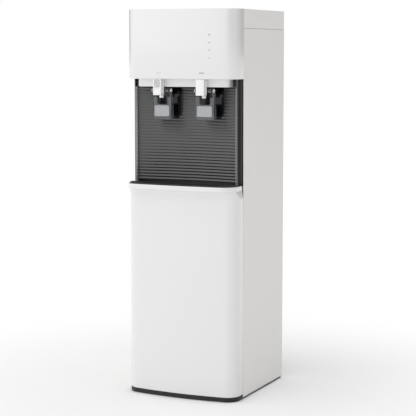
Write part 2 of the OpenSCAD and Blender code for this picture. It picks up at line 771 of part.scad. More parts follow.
module compressor_grommets()
    color("#3a3a3c") at_seam() for (dx = [-62, 62], dy = [-38, 38])
        translate([compressor_x + dx, compressor_y + dy, foot_gap + pan_floor])
            cylinder(r = 8, h = grommet_top_z - foot_gap - pan_floor);

// Serpentine tube with upright wires behind it
module condenser()
    color("#1d1e20") at_seam() {
        y = rear_y + sheet_t + 9;
        wire_pitch = 2 * (condenser_half_w - 6) / (wire_count - 1);
        for (i = [0:condenser_runs - 1])
            rod_x(y, condenser_low_z + i * condenser_pitch, 2.4, -condenser_half_w, condenser_half_w);
        // Bends, alternately right and left
        for (i = [0:condenser_runs - 2]) {
            s = i % 2 == 0 ? 1 : -1;
            translate([s * condenser_half_w, y, condenser_low_z + (i + 0.5) * condenser_pitch])
                rotate([90, s * 90, 0]) rotate_extrude(angle = 180)
                    translate([condenser_pitch / 2, 0]) circle(r = 2.4, $fn = 24);
        }
        for (i = [0:wire_count - 1])
            translate([(i - (wire_count - 1) / 2) * wire_pitch, y + 2.8, condenser_low_z - 6])
                cylinder(r = 0.8, h = (condenser_runs - 1) * condenser_pitch + 12, $fn = 16);
        // Brackets that hold two of the runs off the rear panel
        for (s = [-1, 1], i = [1, condenser_runs - 2]) {
            z = condenser_low_z + i * condenser_pitch;
            block([s * (condenser_half_w - 20) - 5, rear_y + sheet_t, z - 5],
                [s * (condenser_half_w - 20) + 5, y - 1, z + 5]);
        }
    }

// Drier beside the compressor, with the tube that leads to the compressor's dome
module filter_drier()
    color("#b8703c") at_seam() {
        x = compressor_x + compressor_r + 24;
        top = compressor_top_z + 48;
        translate([x, compressor_y, compressor_top_z - 60]) cylinder(r = 9, h = 90);
        translate([x, compressor_y, compressor_top_z - 78]) cylinder(r = 3, h = top - compressor_top_z + 78);
        rod_x(compressor_y, top, 3, compressor_x, x);
        translate([compressor_x, compressor_y, compressor_top_z]) cylinder(r = 3, h = top - compressor_top_z);
        for (end = [compressor_x, x]) translate([end, compressor_y, top]) sphere(r = 3);
    }

// Filters -----------------------------------------------------------------------

module filter_bracket()
    color("#b9bcbf") at_seam() {
        block([-inner_w / 2, filter_y + filter_r, manifold_z - 8],
            [inner_w / 2, filter_y + filter_r + sheet_t, manifold_z + 40]);
        block([-inner_w / 2, filter_y + filter_r - 14, manifold_z + 40 - sheet_t],
            [inner_w / 2, filter_y + filter_r + sheet_t, manifold_z + 40]);
    }

module filter_manifold()
    color("#f0f0ee") at_seam() {
        reach = filter_pitch + filter_r;
        block([-reach, filter_y - 14, manifold_z], [reach, filter_y + filter_r, manifold_z + 24]);
        // Push-in ports at both ends
        rod_x(filter_y, manifold_z + 12, 6, -reach - 12, reach + 12);
    }

// A sealed cartridge that hangs from the manifold by its neck
module cartridge(x)
    translate([x, filter_y, manifold_z - filter_len]) rotate_extrude() polygon(concat(
        [[0, 0]], arc([filter_r - 8, 8], 8, 270, 360, 6),
        arc([filter_r - 8, filter_len - 22], 8, 0, 90, 6),
        [[13, filter_len - 14], [13, filter_len], [0, filter_len]]
    ));
module sediment_filter() color("#f3f3f1") at_seam() cartridge(-filter_pitch);
module carbon_filter() color("#f3f3f1") at_seam() cartridge(0);
module polishing_filter() color("#f3f3f1") at_seam() cartridge(filter_pitch);

// Fittings on the back ----------------------------------------------------------

module inlet_valve()
    color("#dcdcd8") at_seam() difference() {
        union() {
            rod_y(inlet_x, inlet_z, inlet_body_r, rear_y - 40, rear_y + sheet_t + 12);
            rod_y(inlet_x, inlet_z, inlet_body_r + 4, rear_y - 4, rear_y);
            block([inlet_x - 15, rear_y - 40, inlet_z + inlet_body_r - 2],
                [inlet_x + 15, rear_y - 12, inlet_z + inlet_body_r + 34]);
        }
        rod_y(inlet_x, inlet_z, inlet_bore_r, rear_y + sheet_t - 6, rear_y + sheet_t + 12 + eps);
    }

module drain_pipe()
    color("#e3e3e0") at_seam() difference() {
        union() {
            rod_y(drain_x, drain_z, drain_r, rear_y - 60, rear_y + sheet_t + 9);
            rod_y(drain_x, drain_z, drain_r + 4, rear_y - 4, rear_y);
        }
        rod_y(drain_x, drain_z, drain_r - 2, rear_y - 60 - eps, rear_y + sheet_t + 9 + eps);
    }

// Screw cap over the drain pipe's end
module drain_cap()
    color("#f0f0ee") at_seam() difference() {
        rod_y(drain_x, drain_z, drain_r + 3, rear_y + sheet_t + fit_gap, rear_y + sheet_t + 13);
        rod_y(drain_x, drain_z, drain_r + fit_gap, rear_y + sheet_t - eps, rear_y + sheet_t + 9 + fit_gap);
    }

module control_board()
    color("#2f6b45") at_seam() {
        y = rear_y - 12;
        block([-60, y - 1.6, board_z], [60, y, board_z + 70]);
        for (x = [-52, 52], z = [board_z + 8, board_z + 62]) rod_y(x, z, 3.5, y - 0.1, rear_y);
        block([-50, y - 24, board_z + 10], [-14, y - 1.5, board_z + 44]);
        block([6, y - 18, board_z + 14], [24, y - 1.5, board_z + 34]);
        for (i = [0:3]) block([-52 + i * 16, y - 12, board_z + 50], [-42 + i * 16, y - 1.5, board_z + 62]);
        for (x = [34, 48]) rod_y(x, board_z + 24, 5, y - 22, y - 1.5);
    }

module switch_plate()
    color("#26272a") at_seam() difference() {
        union() {
            front_slab(switch_x, switch_z, switch_plate_w, switch_plate_h, 4,
                rear_y + sheet_t, rear_y + sheet_t + 2.5);
            front_slab(switch_x, switch_z, switch_plate_w - 8, switch_plate_h - 8, 2,
                rear_y - 18, rear_y + sheet_t + 1);
        }
        for (x = rocker_xs)
            block([x - rocker_w / 2 - 0.4, rear_y - 12, switch_z - rocker_h / 2 - 0.8],
                [x + rocker_w / 2 + 0.4, rear_y + 10, switch_z + rocker_h / 2 + 0.8]);
    }

// A rocker at rest in its off position, tilted about its middle
module rocker(x)
    translate([x - rocker_w / 2, rocker_y, switch_z]) rotate([rocker_tilt, 0, 0])
        rotate([90, 0, 90]) linear_extrude(rocker_w)
            polygon([
                [-5, 1.5 - rocker_h / 2], [3.4, -rocker_h / 2], [2.2, 0],
                [3.4, rocker_h / 2], [-5, rocker_h / 2 - 1.5]
            ]);
module heater_switch() color("#b0282a") at_seam() rocker(rocker_xs[0]);
module cooling_switch() color("#2c6a3e") at_seam() rocker(rocker_xs[1]);

// Mains inlet with three flat pins
module power_inlet()
    color("#1a1a1c") at_seam() {
        y = rear_y + sheet_t;
        difference() {
            union() {
                front_slab(power_x, power_z, power_w + 14, power_h + 8, 3, y, y + 3);
                front_slab(power_x, power_z, power_w, power_h, 2, rear_y - 20, y + 1);
            }
            front_slab(power_x, power_z, power_w - 4, power_h - 4, 2, rear_y - 14, y + 4);
        }
        for (p = [[-7, -2], [0, 2], [7, -2]])
            block([power_x + p[0] - 1, rear_y - 15, power_z + p[1] - 2],
                [power_x + p[0] + 1, y - 2, power_z + p[1] + 2]);
    }

// Nodes ------------------------------------------------------------------------

base_pan();
feet();
side_panel_left();
side_panel_right();
rear_panel();
top_lid();
upper_fascia();
indicator_lights();
indicator_board();
tap_skirt();
splash_panel();
tap_plate_hot();
tap_plate_cold();
tap_body_hot();
tap_body_cold();
tap_nuts();
nozzle_hot();
nozzle_cold();
tap_cover_hot();
tap_cover_cold();
lock_button();
lever_hot();
lever_cold();
lever_pad_hot();
lever_pad_cold();
hinge_pins_hot();
hinge_pins_cold();
lever_spring_hot();
lever_spring_cold();
valve_stem_hot();
valve_stem_cold();
lower_front_panel();
drip_tray();
drip_grille();
tank_shelf();
cold_tank();
evaporator_coil();
cold_tank_foam();
hot_tank();
hot_tank_jacket();
heater_band();
thermostats();
water_tubes();
compressor();
compressor_grommets();
condenser();
filter_drier();
filter_bracket();
filter_manifold();
sediment_filter();
carbon_filter();
polishing_filter();
inlet_valve();
drain_pipe();
drain_cap();
control_board();
switch_plate();
heater_switch();
cooling_switch();
power_inlet();
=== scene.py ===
"""Floor-standing hot and cold water dispenser: its finishes, finely rounded outer pieces, light and camera.

Lengths are in metres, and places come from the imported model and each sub-assembly's own sizes. The front
mouldings meet the steel cabinet at the seam plane. Plans are drawn from that plane, and the front faces -Y.
"""

import json
import logging
import math
from dataclasses import dataclass
from enum import Enum
from typing import Callable

import bmesh
import bpy
from mathutils import Matrix, Vector


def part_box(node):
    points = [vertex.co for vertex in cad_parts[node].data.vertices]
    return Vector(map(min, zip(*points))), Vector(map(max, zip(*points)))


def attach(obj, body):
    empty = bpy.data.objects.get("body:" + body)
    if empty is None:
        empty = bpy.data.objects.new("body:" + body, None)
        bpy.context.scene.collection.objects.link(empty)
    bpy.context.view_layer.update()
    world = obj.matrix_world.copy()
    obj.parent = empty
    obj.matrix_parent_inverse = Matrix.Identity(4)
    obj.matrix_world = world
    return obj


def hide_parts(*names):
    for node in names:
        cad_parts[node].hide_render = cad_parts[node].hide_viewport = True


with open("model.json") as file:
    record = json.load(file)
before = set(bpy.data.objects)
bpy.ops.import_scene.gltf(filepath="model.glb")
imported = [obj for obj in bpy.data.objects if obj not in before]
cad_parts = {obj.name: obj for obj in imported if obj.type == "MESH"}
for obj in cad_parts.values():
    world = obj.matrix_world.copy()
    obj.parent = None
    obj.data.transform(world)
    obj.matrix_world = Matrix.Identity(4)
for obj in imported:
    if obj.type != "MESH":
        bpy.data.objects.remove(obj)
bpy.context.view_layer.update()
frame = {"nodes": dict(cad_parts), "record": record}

MM = 0.001
WELD = 0.002 * MM
QUARTER = [math.radians(15 * i) for i in range(7)]
LOG = logging.getLogger("dispenser")
Socket = bpy.types.NodeSocket


# Colour and shader nodes ------------------------------------------------------------------------------------


def linear(code: str) -> tuple[float, float, float, float]:
    """Turns an sRGB hex colour into linear values.

    Args:
        code: the colour as "#rrggbb".

    Returns:
        Red, green, blue and an alpha of 1.
    """
    channels = [int(code[i : i + 2], 16) / 255 for i in (1, 3, 5)]
    red, green, blue = (c / 12.92 if c <= 0.04045 else ((c + 0.055) / 1.055) ** 2.4 for c in channels)
    return red, green, blue, 1.0


def add(
    tree: bpy.types.NodeTree, kind: str, settings: dict | None = None, links: dict | None = None
) -> bpy.types.Node:
    """Adds a shader node with its settings and links.

    Args:
        tree: the tree that takes the node.
        kind: the node's Blender type name.
        settings: attribute or input names, and the values they take.
        links: input names, and the sockets that feed them.

    Returns:
        The new node.
    """
    made = tree.nodes.new(kind)
    for name, value in (settings or {}).items():
        if hasattr(made, name):
            setattr(made, name, value)
        else:
            made.inputs[name].default_value = value
    for name, source in (links or {}).items():
        tree.links.new(source, made.inputs[name])
    return made


def per_size(size_mm: float) -> float:
    """Returns the scale at which a texture on Object coordinates has features of size_mm millimetres."""
    return 1 / (size_mm * MM)


@dataclass(frozen=True)
class Finish:
    """What a surface is made of and how it was made. Subclasses add the pattern of their own process."""

    name: str
    colour: str
    roughness: float
    shade: float = 0.03
    patch_mm: float = 60.0
    ior: float = 1.46

    def material(self) -> bpy.types.Material:
        """Returns the finish as a material, built once and then shared."""
        known = bpy.data.materials.get(self.name)
        if known:
            return known
        made = bpy.data.materials.new(self.name)
        made.use_nodes = True
        tree = made.node_tree
        shader = tree.nodes["Principled BSDF"]
        shader.inputs["Base Color"].default_value = linear(self.colour)
        shader.inputs["Roughness"].default_value = self.roughness
        place = add(tree, "ShaderNodeTexCoord").outputs["Object"]
        self.tint(tree, shader, place)
        self.dress(tree, shader, place)
        return made

    def tint(self, tree: bpy.types.NodeTree, shader: bpy.types.Node, place: Socket) -> None:
        """Varies the colour and the roughness a little in broad soft patches, as handling and moulding do."""
        patches = add(
            tree, "ShaderNodeTexNoise", {"Scale": per_size(self.patch_mm), "Detail": 3.0}, {"Vector": place}
        )
        base = linear(self.colour)
        low = tuple(c * (1 - self.shade) for c in base[:3]) + (1.0,)
        high = tuple(min(1.0, c * (1 + self.shade)) for c in base[:3]) + (1.0,)
        mix = add(tree, "ShaderNodeMix", {"data_type": "RGBA"}, {"Factor": patches.outputs["Fac"]})
        mix.inputs[6].default_value = low
        mix.inputs[7].default_value = high
        tree.links.new(mix.outputs[2], shader.inputs["Base Color"])
        rough = add(
            tree,
            "ShaderNodeMapRange",
            {"To Min": self.roughness * 0.92, "To Max": self.roughness * 1.08},
            {"Value": patches.outputs["Fac"]},
        )
        tree.links.new(rough.outputs["Result"], shader.inputs["Roughness"])

    def dress(self, tree: bpy.types.NodeTree, shader: bpy.types.Node, place: Socket) -> None:
        """Adds what the process leaves on the surface. The plain finish leaves nothing more."""


def raise_bump(
    tree: bpy.types.NodeTree, shader: bpy.types.Node, height: Socket, depth_mm: float, strength: float = 1.0
) -> None:
    """Feeds a height pattern to a shader's normal.

    Args:
        tree: the tree that holds them.
        shader: the shader that is bumped.
        height: the pattern, from 0 to 1.
        depth_mm: how deep the pattern is, in millimetres.
        strength: how much of the bump shows.
    """
    bump = add(tree, "ShaderNodeBump", {"Strength": strength, "Distance": depth_mm * MM}, {"Height": height})
    tree.links.new(bump.outputs["Normal"], shader.inputs["Normal"])


@dataclass(frozen=True)
class Moulded(Finish):
    """An injection moulding, with the grain that its polished or spark-eroded tool leaves."""

    grain_mm: float = 1.2
    grain_depth_mm: float = 0.012
    coat: float = 0.0
    coat_roughness: float = 0.2

    def dress(self, tree: bpy.types.NodeTree, shader: bpy.types.Node, place: Socket) -> None:
        """Adds the tool's grain, and the gloss of a polished tool as a coat."""
        shader.inputs["IOR"].default_value = self.ior
        shader.inputs["Coat Weight"].default_value = self.coat
        shader.inputs["Coat Roughness"].default_value = self.coat_roughness
        grain = add(
            tree, "ShaderNodeTexNoise", {"Scale": per_size(self.grain_mm), "Detail": 2.0}, {"Vector": place}
        )
        raise_bump(tree, shader, grain.outputs["Fac"], self.grain_depth_mm)


@dataclass(frozen=True)
class PowderCoat(Finish):
    """Powder paint baked on sheet steel, which flows out into a fine orange peel."""

    peel_mm: float = 2.2
    peel_depth_mm: float = 0.03
    speckle: float = 0.35

    def dress(self, tree: bpy.types.NodeTree, shader: bpy.types.Node, place: Socket) -> None:
        """Adds the orange peel with a finer speckle on it."""
        shader.inputs["IOR"].default_value = self.ior
        peel = add(
            tree,
            "ShaderNodeTexVoronoi",
            {"feature": "SMOOTH_F1", "Scale": per_size(self.peel_mm)},
            {"Vector": place},
        )
        fine = per_size(self.peel_mm / 3)
        speckle = add(tree, "ShaderNodeTexNoise", {"Scale": fine, "Detail": 2.0}, {"Vector": place})
        both = add(tree, "ShaderNodeMath", {"operation": "MULTIPLY_ADD"})
        tree.links.new(speckle.outputs["Fac"], both.inputs[0])
        both.inputs[1].default_value = self.speckle
        tree.links.new(peel.outputs["Distance"], both.inputs[2])
        raise_bump(tree, shader, both.outputs["Value"], self.peel_depth_mm, 0.6)


@dataclass(frozen=True)
class Galvanised(Finish):
    """Hot-dip zinc on steel sheet, whose crystals show as flat spangles of differing grey."""

    spangle_mm: float = 9.0
    spangle_depth_mm: float = 0.02

    def dress(self, tree: bpy.types.NodeTree, shader: bpy.types.Node, place: Socket) -> None:
        """Adds the spangles to the roughness, so that they glint one by one."""
        shader.inputs["Metallic"].default_value = 1.0
        cells = add(tree, "ShaderNodeTexVoronoi", {"Scale": per_size(self.spangle_mm)}, {"Vector": place})
        rough = add(
            tree,
            "ShaderNodeMapRange",
            {"To Min": self.roughness * 0.7, "To Max": self.roughness * 1.3},
            {"Value": cells.outputs["Color"]},
        )
        tree.links.new(rough.outputs["Result"], shader.inputs["Roughness"])
        raise_bump(tree, shader, cells.outputs["Distance"], self.spangle_depth_mm, 0.3)


@dataclass(frozen=True)
class DrawnMetal(Finish):
    """Metal drawn through a die or brushed along one way, which leaves long fine streaks."""

    streak_mm: float = 0.8
    streak_depth_mm: float = 0.01
    stretch: tuple[float, float, float] = (1.0, 1.0, 0.04)

    def dress(self, tree: bpy.types.NodeTree, shader: bpy.types.Node, place: Socket) -> None:
        """Adds the streaks to the roughness and the bump."""
        shader.inputs["Metallic"].default_value = 1.0
        turn = add(tree, "ShaderNodeMapping", {"Scale": self.stretch}, {"Vector": place})
        streaks = add(
            tree,
            "ShaderNodeTexNoise",
            {"Scale": per_size(self.streak_mm), "Detail": 3.0},
            {"Vector": turn.outputs["Vector"]},
        )
        rough = add(
            tree,
            "ShaderNodeMapRange",
            {"To Min": self.roughness * 0.75, "To Max": self.roughness * 1.3},
            {"Value": streaks.outputs["Fac"]},
        )
        tree.links.new(rough.outputs["Result"], shader.inputs["Roughness"])
        raise_bump(tree, shader, streaks.outputs["Fac"], self.streak_depth_mm, 0.5)


@dataclass(frozen=True)
class SmokyAcrylic(Finish):
    """Tinted acrylic, clear enough to show what is behind it, with faint flow lines from the gate."""

    acrylic_ior: float = 1.49
    clarity: float = 0.75
    flow_mm: float = 14.0
    flow_depth_mm: float = 0.05

    def dress(self, tree: bpy.types.NodeTree, shader: bpy.types.Node, place: Socket) -> None:
        """Lets light through, with the flow lines as a shallow bump."""
        shader.inputs["IOR"].default_value = self.acrylic_ior
        shader.inputs["Transmission Weight"].default_value = self.clarity
        flow = add(
            tree, "ShaderNodeTexNoise", {"Scale": per_size(self.flow_mm), "Detail": 1.0}, {"Vector": place}
        )
        raise_bump(tree, shader, flow.outputs["Fac"], self.flow_depth_mm, 0.3)


@dataclass(frozen=True)
class LightPipe(Finish):
    """A translucent plug that carries the glow of the lamp behind it."""

    glow: float = 0.6
    haze_mm: float = 0.6

    def dress(self, tree: bpy.types.NodeTree, shader: bpy.types.Node, place: Socket) -> None:
        """Adds the glow and a faint haze."""
        shader.inputs["Emission Color"].default_value = linear(self.colour)
        shader.inputs["Emission Strength"].default_value = self.glow
        haze = add(tree, "ShaderNodeTexNoise", {"Scale": per_size(self.haze_mm)}, {"Vector": place})
        raise_bump(tree, shader, haze.outputs["Fac"], 0.02, 0.4)


@dataclass(frozen=True)
class Cellular(Finish):
    """Foam with a skin of closed cells."""

    cell_mm: float = 3.0
    cell_depth_mm: float = 0.4

    def dress(self, tree: bpy.types.NodeTree, shader: bpy.types.Node, place: Socket) -> None:
        """Adds the cells as a pitted bump."""
        cells = add(tree, "ShaderNodeTexVoronoi", {"Scale": per_size(self.cell_mm)}, {"Vector": place})
        raise_bump(tree, shader, cells.outputs["Distance"], self.cell_depth_mm, 0.7)


@dataclass(frozen=True)
class GlassFibre(Finish):
    """Glass-fibre cloth, woven over and under."""

    thread_mm: float = 1.6
    thread_depth_mm: float = 0.3

    def dress(self, tree: bpy.types.NodeTree, shader: bpy.types.Node, place: Socket) -> None:
        """Adds the two sets of threads, one along the height and one round it."""
        threads = [
            add(
                tree,
                "ShaderNodeTexWave",
                {"Scale": per_size(self.thread_mm) / 20, "bands_direction": way},
                {"Vector": place},
            )
            for way in ("Z", "X")
        ]
        both = add(tree, "ShaderNodeMath", {"operation": "MAXIMUM"})
        for i, thread in enumerate(threads):
            tree.links.new(thread.outputs["Fac"], both.inputs[i])
        raise_bump(tree, shader, both.outputs["Value"], self.thread_depth_mm, 0.8)


# One finish for each material slot of the record.
FINISHES: dict[str, Finish] = {
    # White ABS from a polished tool: glossy and even, hardly mottled.
    "front_white": Moulded("front_white_abs", "#e6e6e6", 0.22, 0.006, 90, 1.7, 1.6, 0.003, 1.0, 0.12),
    # Off-white powder paint: softer than the mouldings beside it, a little warmer.
    "cabinet_paint": PowderCoat("cabinet_powder_coat", "#eeecea", 0.5, 0.012, 120),
    # Black ABS with a satin coat, which carries broad soft reflections.
    "alcove_black": Moulded("alcove_black_abs", "#1c1d1f", 0.34, 0.05, 70, 1.6, 2.5, 0.012, 1.0, 0.24),
    # Polished light ABS of the alcove's cheek liners, in which the ribs are mirrored.
    "cheek_liner": Moulded(
        "cheek_liner_abs", "#dcddde", 0.12, 0.01, 40, 1.52, grain_depth_mm=0.002, coat=1.0
    ),
    # Piano-black panels behind the taps, nearly a mirror.
    "tap_black": Moulded("tap_piano_black", "#0b0b0d", 0.06, 0.02, 60, grain_mm=9.0, grain_depth_mm=0.004),
    # Bright white POM of the tap covers, slightly glossier than the fascia.
    "tap_white": Moulded("tap_white_pom", "#f4f4f3", 0.28, 0.006, 40),
    # Smoke-tinted acrylic of the levers.
    "smoky_clear": SmokyAcrylic("lever_smoky_acrylic", "#a5a8ad", 0.08, 0.03, 20),
    # Silver-grey lacquer on the lever pads.
    "lever_grey": Moulded("lever_pad_lacquer", "#acaeb1", 0.4, 0.02, 14, grain_mm=0.5, grain_depth_mm=0.02),
    # Grey satin plastic of the lock button.
    "button_grey": Moulded("lock_button_plastic", "#c9cbcd", 0.42, 0.03, 10, grain_mm=0.5),
    # Black polypropylene of the base pan.
    "plinth_black": Moulded("plinth_polypropylene", "#1b1b1d", 0.45, 0.08, 60),
    # Black polypropylene of the tray, spark-eroded to a fine matt.
    "tray_black": Moulded("tray_polypropylene", "#232427", 0.42, 0.08, 40, grain_mm=0.8, grain_depth_mm=0.03),
    # Black rubber of feet and grommets.
    "rubber_black": Moulded("foot_rubber", "#202022", 0.75, 0.15, 12, grain_mm=0.8, grain_depth_mm=0.05),
    # Pale blue glow of the indicator lenses.
    "indicator_blue": LightPipe("indicator_light_pipe", "#a9c4d6", 0.3),
    # Solder mask over copper: green with a soft gloss.
    "board_green": Moulded("board_solder_mask", "#1f5a38", 0.3, 0.25, 6, grain_mm=1.5, grain_depth_mm=0.05),
    # Deep-drawn stainless steel of the tanks.
    "stainless": DrawnMetal("tank_stainless_steel", "#c3c5c7", 0.32),
    # Galvanised sheet of shelf, bracket and rear panel.
    "galvanised": Galvanised("galvanised_sheet", "#b4b7b9", 0.42, 0.08, 14),
    # Drawn copper tube.
    "copper": DrawnMetal("drawn_copper", "#c27b52", 0.3, 0.12, 18, stretch=(0.1, 1.0, 1.0)),
    # Cream polyurethane foam.
    "foam": Cellular("polyurethane_foam", "#e4ddc8", 0.85, 0.06, 25),
    # Grey glass-fibre jacket.
    "jacket_grey": GlassFibre("glass_fibre_jacket", "#8a8f92", 0.8, 0.08, 20),
    # Natural white polypropylene of filters, valves and pipes.
    "white_plastic": Moulded("natural_polypropylene", "#e9e9e4", 0.42, 0.02, 30),
    # Milky silicone hose.
    "clear_tube": Moulded("silicone_hose", "#dfe4e6", 0.35, 0.04, 12),
    # Black stove enamel of compressor and condenser.
    "black_steel": PowderCoat("black_enamel", "#1d1e20", 0.35, 0.12, 30, peel_mm=1.5),
    # Black nylon of switch plate and mains inlet.
    "switch_black": Moulded("switch_nylon", "#1f2023", 0.4, 0.08, 12),
    # Red and green nylon rockers.
    "rocker_red": Moulded("rocker_red_nylon", "#b3262a", 0.25, 0.05, 8),
    "rocker_green": Moulded("rocker_green_nylon", "#1f7a43", 0.25, 0.05, 8),
    # Bright spring wire.
    "spring_steel": DrawnMetal("spring_wire", "#c5c7c9", 0.25),
    # Grey pad-printed marks.
    "print_grey": Moulded("printed_mark_ink", "#8d9094", 0.5, 0.03, 3),
}


# Meshes -----------------------------------------------------------------------------------------------------


def arc(cx: float, cy: float, r: float, start: float, end: float, steps: int) -> list[Vector]:
    """Returns steps + 1 points along an arc round (cx, cy), from one angle to the other, in degrees."""
    angles = [math.radians(start + (end - start) * i / steps) for i in range(steps + 1)]
    return [Vector((cx + r * math.cos(a), cy + r * math.sin(a))) for a in angles]


@dataclass(frozen=True)
class BowedPlan:
    """A bowed front with round corners, as a plan from the seam forwards.

    Args:
        half_w: half the width.
        front: how far the middle stands ahead of the seam.
        bow_r: radius of the bow.
        corner_r: radius of the corners.
        back: how far behind the seam the straight sides end.
    """

    half_w: float
    front: float
    bow_r: float
    corner_r: float
    back: float = 0.0

    def chain(self, inset: float = 0.0, steps: int = 12, bow_steps: int = 32) -> list[Vector]:
        """Returns the plan's points from its left end round the front to its right end.

        Args:
            inset: how far the whole plan is drawn in.
            steps: pieces in each corner.
            bow_steps: pieces in the bow.

        Returns:
            Points in the seam's own frame.
        """
        half, front = self.half_w - inset, self.front - inset
        bow, corner = self.bow_r - inset, self.corner_r - inset
        cx = half - corner
        cy = bow - front - math.sqrt((bow - corner) ** 2 - cx * cx)
        tilt = math.degrees(math.asin(cx / (bow - corner)))
        return (
            [Vector((-half, self.back))]
            + arc(-cx, cy, corner, 180, 270 - tilt, steps)
            + arc(0, bow - front, bow, 270 - tilt, 270 + tilt, bow_steps)
            + arc(cx, cy, corner, 270 + tilt, 360, steps)
            + [Vector((half, self.back))]
        )


def level(chain: list[Vector], seam: float, z: float) -> list[Vector]:
    """Returns a plan's points at a height, in the model's frame."""
    return [Vector((p.x, p.y + seam, z)) for p in chain]


def to_line(chain: list[Vector], seam: float, z: float, back: float) -> list[Vector]:
    """Returns a plan's points drawn back onto one straight line, which closes a shell's floor or roof."""
    return [Vector((p.x, back + seam, z)) for p in chain]


def loft(levels: list[list[Vector]], closed: bool = False) -> bmesh.types.BMesh:
    """Extrudes a chain of edges through a series of levels.

    Args:
        levels: the same number of points for each level.
        closed: whether each level is a ring.

    Returns:
        The surface, with its doubles merged.
    """
    bm = bmesh.new()
    row = [bm.verts.new(p) for p in levels[0]]
    pairs = zip(row, row[1:] + row[:1]) if closed else zip(row, row[1:])
    edges = [bm.edges.new(pair) for pair in pairs]
    for points in levels[1:]:
        made = bmesh.ops.extrude_edge_only(bm, edges=edges)["geom"]
        follow = {id(old): None for old in row}
        fresh = [v for v in made if isinstance(v, bmesh.types.BMVert)]
        edges = [e for e in made if isinstance(e, bmesh.types.BMEdge)]
        for v in fresh:
            for e in v.link_edges:
                other = e.other_vert(v)
                if id(other) in follow:
                    follow[id(other)] = v
        row = [follow[id(old)] for old in row]
        for v, p in zip(row, points):
            v.co = p
    bmesh.ops.remove_doubles(bm, verts=bm.verts, dist=WELD)
    bmesh.ops.dissolve_degenerate(bm, edges=bm.edges, dist=WELD)
    return bm


def face_outwards(bm: bmesh.types.BMesh, middle: Vector) -> None:
    """Turns a shell's faces away from a point inside it."""
    bmesh.ops.recalc_face_normals(bm, faces=bm.faces)
    lean = sum(f.calc_area() * f.normal.dot(f.calc_center_median() - middle) for f in bm.faces)
    if lean < 0:
        bmesh.ops.reverse_faces(bm, faces=bm.faces)


def piece(bm: bmesh.types.BMesh, name: str, sharp: float = 32.0) -> bpy.types.Object:
    """Makes an object from a finished bmesh, smooth but for its sharp edges.

    Args:
        bm: the mesh, which is freed.
        name: the piece's name.
        sharp: edges that turn by more than this many degrees stay sharp.

    Returns:
        The object, at the origin.
    """
    for f in bm.faces:
        f.smooth = True
    for e in bm.edges:
        e.smooth = len(e.link_faces) == 2 and e.calc_face_angle(0.0) < math.radians(sharp)
    mesh = bpy.data.meshes.new(name)
    bm.to_mesh(mesh)
    bm.free()
    made = bpy.data.objects.new(name, mesh)
    bpy.context.scene.collection.objects.link(made)
    return made


def thicken(obj: bpy.types.Object, wall: float) -> None:
    """Gives a shell its wall, inwards from its faces."""
    solid = obj.modifiers.new("wall", "SOLIDIFY")
    solid.thickness = wall
    solid.offset = -1.0
    solid.use_even_offset = False


def soften(obj: bpy.types.Object, width: float, segments: int = 2, angle: float = 32.0) -> None:
    """Rounds a piece's sharp edges."""
    bevel = obj.modifiers.new("edge", "BEVEL")
    bevel.width = width
    bevel.segments = segments
    bevel.limit_method = "ANGLE"
    bevel.angle_limit = math.radians(angle)
    bevel.harden_normals = True
    bevel.use_clamp_overlap = True


def bake_modifiers(obj: bpy.types.Object) -> None:
    """Applies a piece's modifiers to its mesh."""
    graph = bpy.context.evaluated_depsgraph_get()
    made = bpy.data.meshes.new_from_object(obj.evaluated_get(graph))
    obj.modifiers.clear()
    obj.data = made


def carve(obj: bpy.types.Object, tool: bpy.types.Object) -> None:
    """Cuts one piece with another and removes the tool."""
    cut = obj.modifiers.new("cut", "BOOLEAN")
    cut.object = tool
    cut.operation = "DIFFERENCE"
    cut.solver = "EXACT"
    bpy.context.view_layer.update()
    bake_modifiers(obj)
    bpy.data.objects.remove(tool, do_unlink=True)


def slab(outline: list[Vector], y0: float, y1: float, edge_r: float, segments: int = 3) -> bmesh.types.BMesh:
    """Builds an upright slab that faces the front.

    Args:
        outline: its (x, z) outline.
        y0: the front face.
        y1: the back face.
        edge_r: radius of the front edge.
        segments: pieces in that radius.

    Returns:
        The closed slab.
    """
    bm = bmesh.new()
    face = bm.faces.new([bm.verts.new((p.x, y1, p.y)) for p in outline])
    made = bmesh.ops.extrude_face_region(bm, geom=[face])["geom"]
    front = [v for v in made if isinstance(v, bmesh.types.BMVert)]
    bmesh.ops.translate(bm, vec=(0, y0 - y1, 0), verts=front)
    bmesh.ops.recalc_face_normals(bm, faces=bm.faces)
    if edge_r:
        rim = [e for e in bm.edges if all(v in front for v in e.verts)]
        bmesh.ops.bevel(
            bm, geom=rim, offset=edge_r, segments=segments, profile=0.5, affect="EDGES", material=-1
        )
    bmesh.ops.remove_doubles(bm, verts=bm.verts, dist=WELD)
    return bm


def rounded(cx: float, cz: float, w: float, h: float, r: float, steps: int = 6) -> list[Vector]:
    """Returns the outline of a rectangle with round corners, as (x, z) points."""
    dx, dz = w / 2 - r, h / 2 - r
    corners = ((dx, dz, 0), (-dx, dz, 90), (-dx, -dz, 180), (dx, -dz, 270))
    return [p for x, z, a in corners for p in arc(cx + x, cz + z, r, a, a + 90, steps)]


def add_block(bm: bmesh.types.BMesh, low: Vector, high: Vector) -> None:
    """Adds a box between two corners to a bmesh."""
    size, centre = high - low, (low + high) / 2
    bmesh.ops.create_cube(bm, size=1.0, matrix=Matrix.Translation(centre) @ Matrix.Diagonal((*size, 1.0)))


def block(low: Vector, high: Vector) -> bmesh.types.BMesh:
    """Returns a box between two corners."""
    bm = bmesh.new()
    add_block(bm, low, high)
    return bm


def edges_where(bm: bmesh.types.BMesh, test: Callable[[Vector, Vector], bool]) -> list[bmesh.types.BMEdge]:
    """Returns the edges whose two ends pass a test."""
    return [e for e in bm.edges if test(e.verts[0].co, e.verts[1].co)]


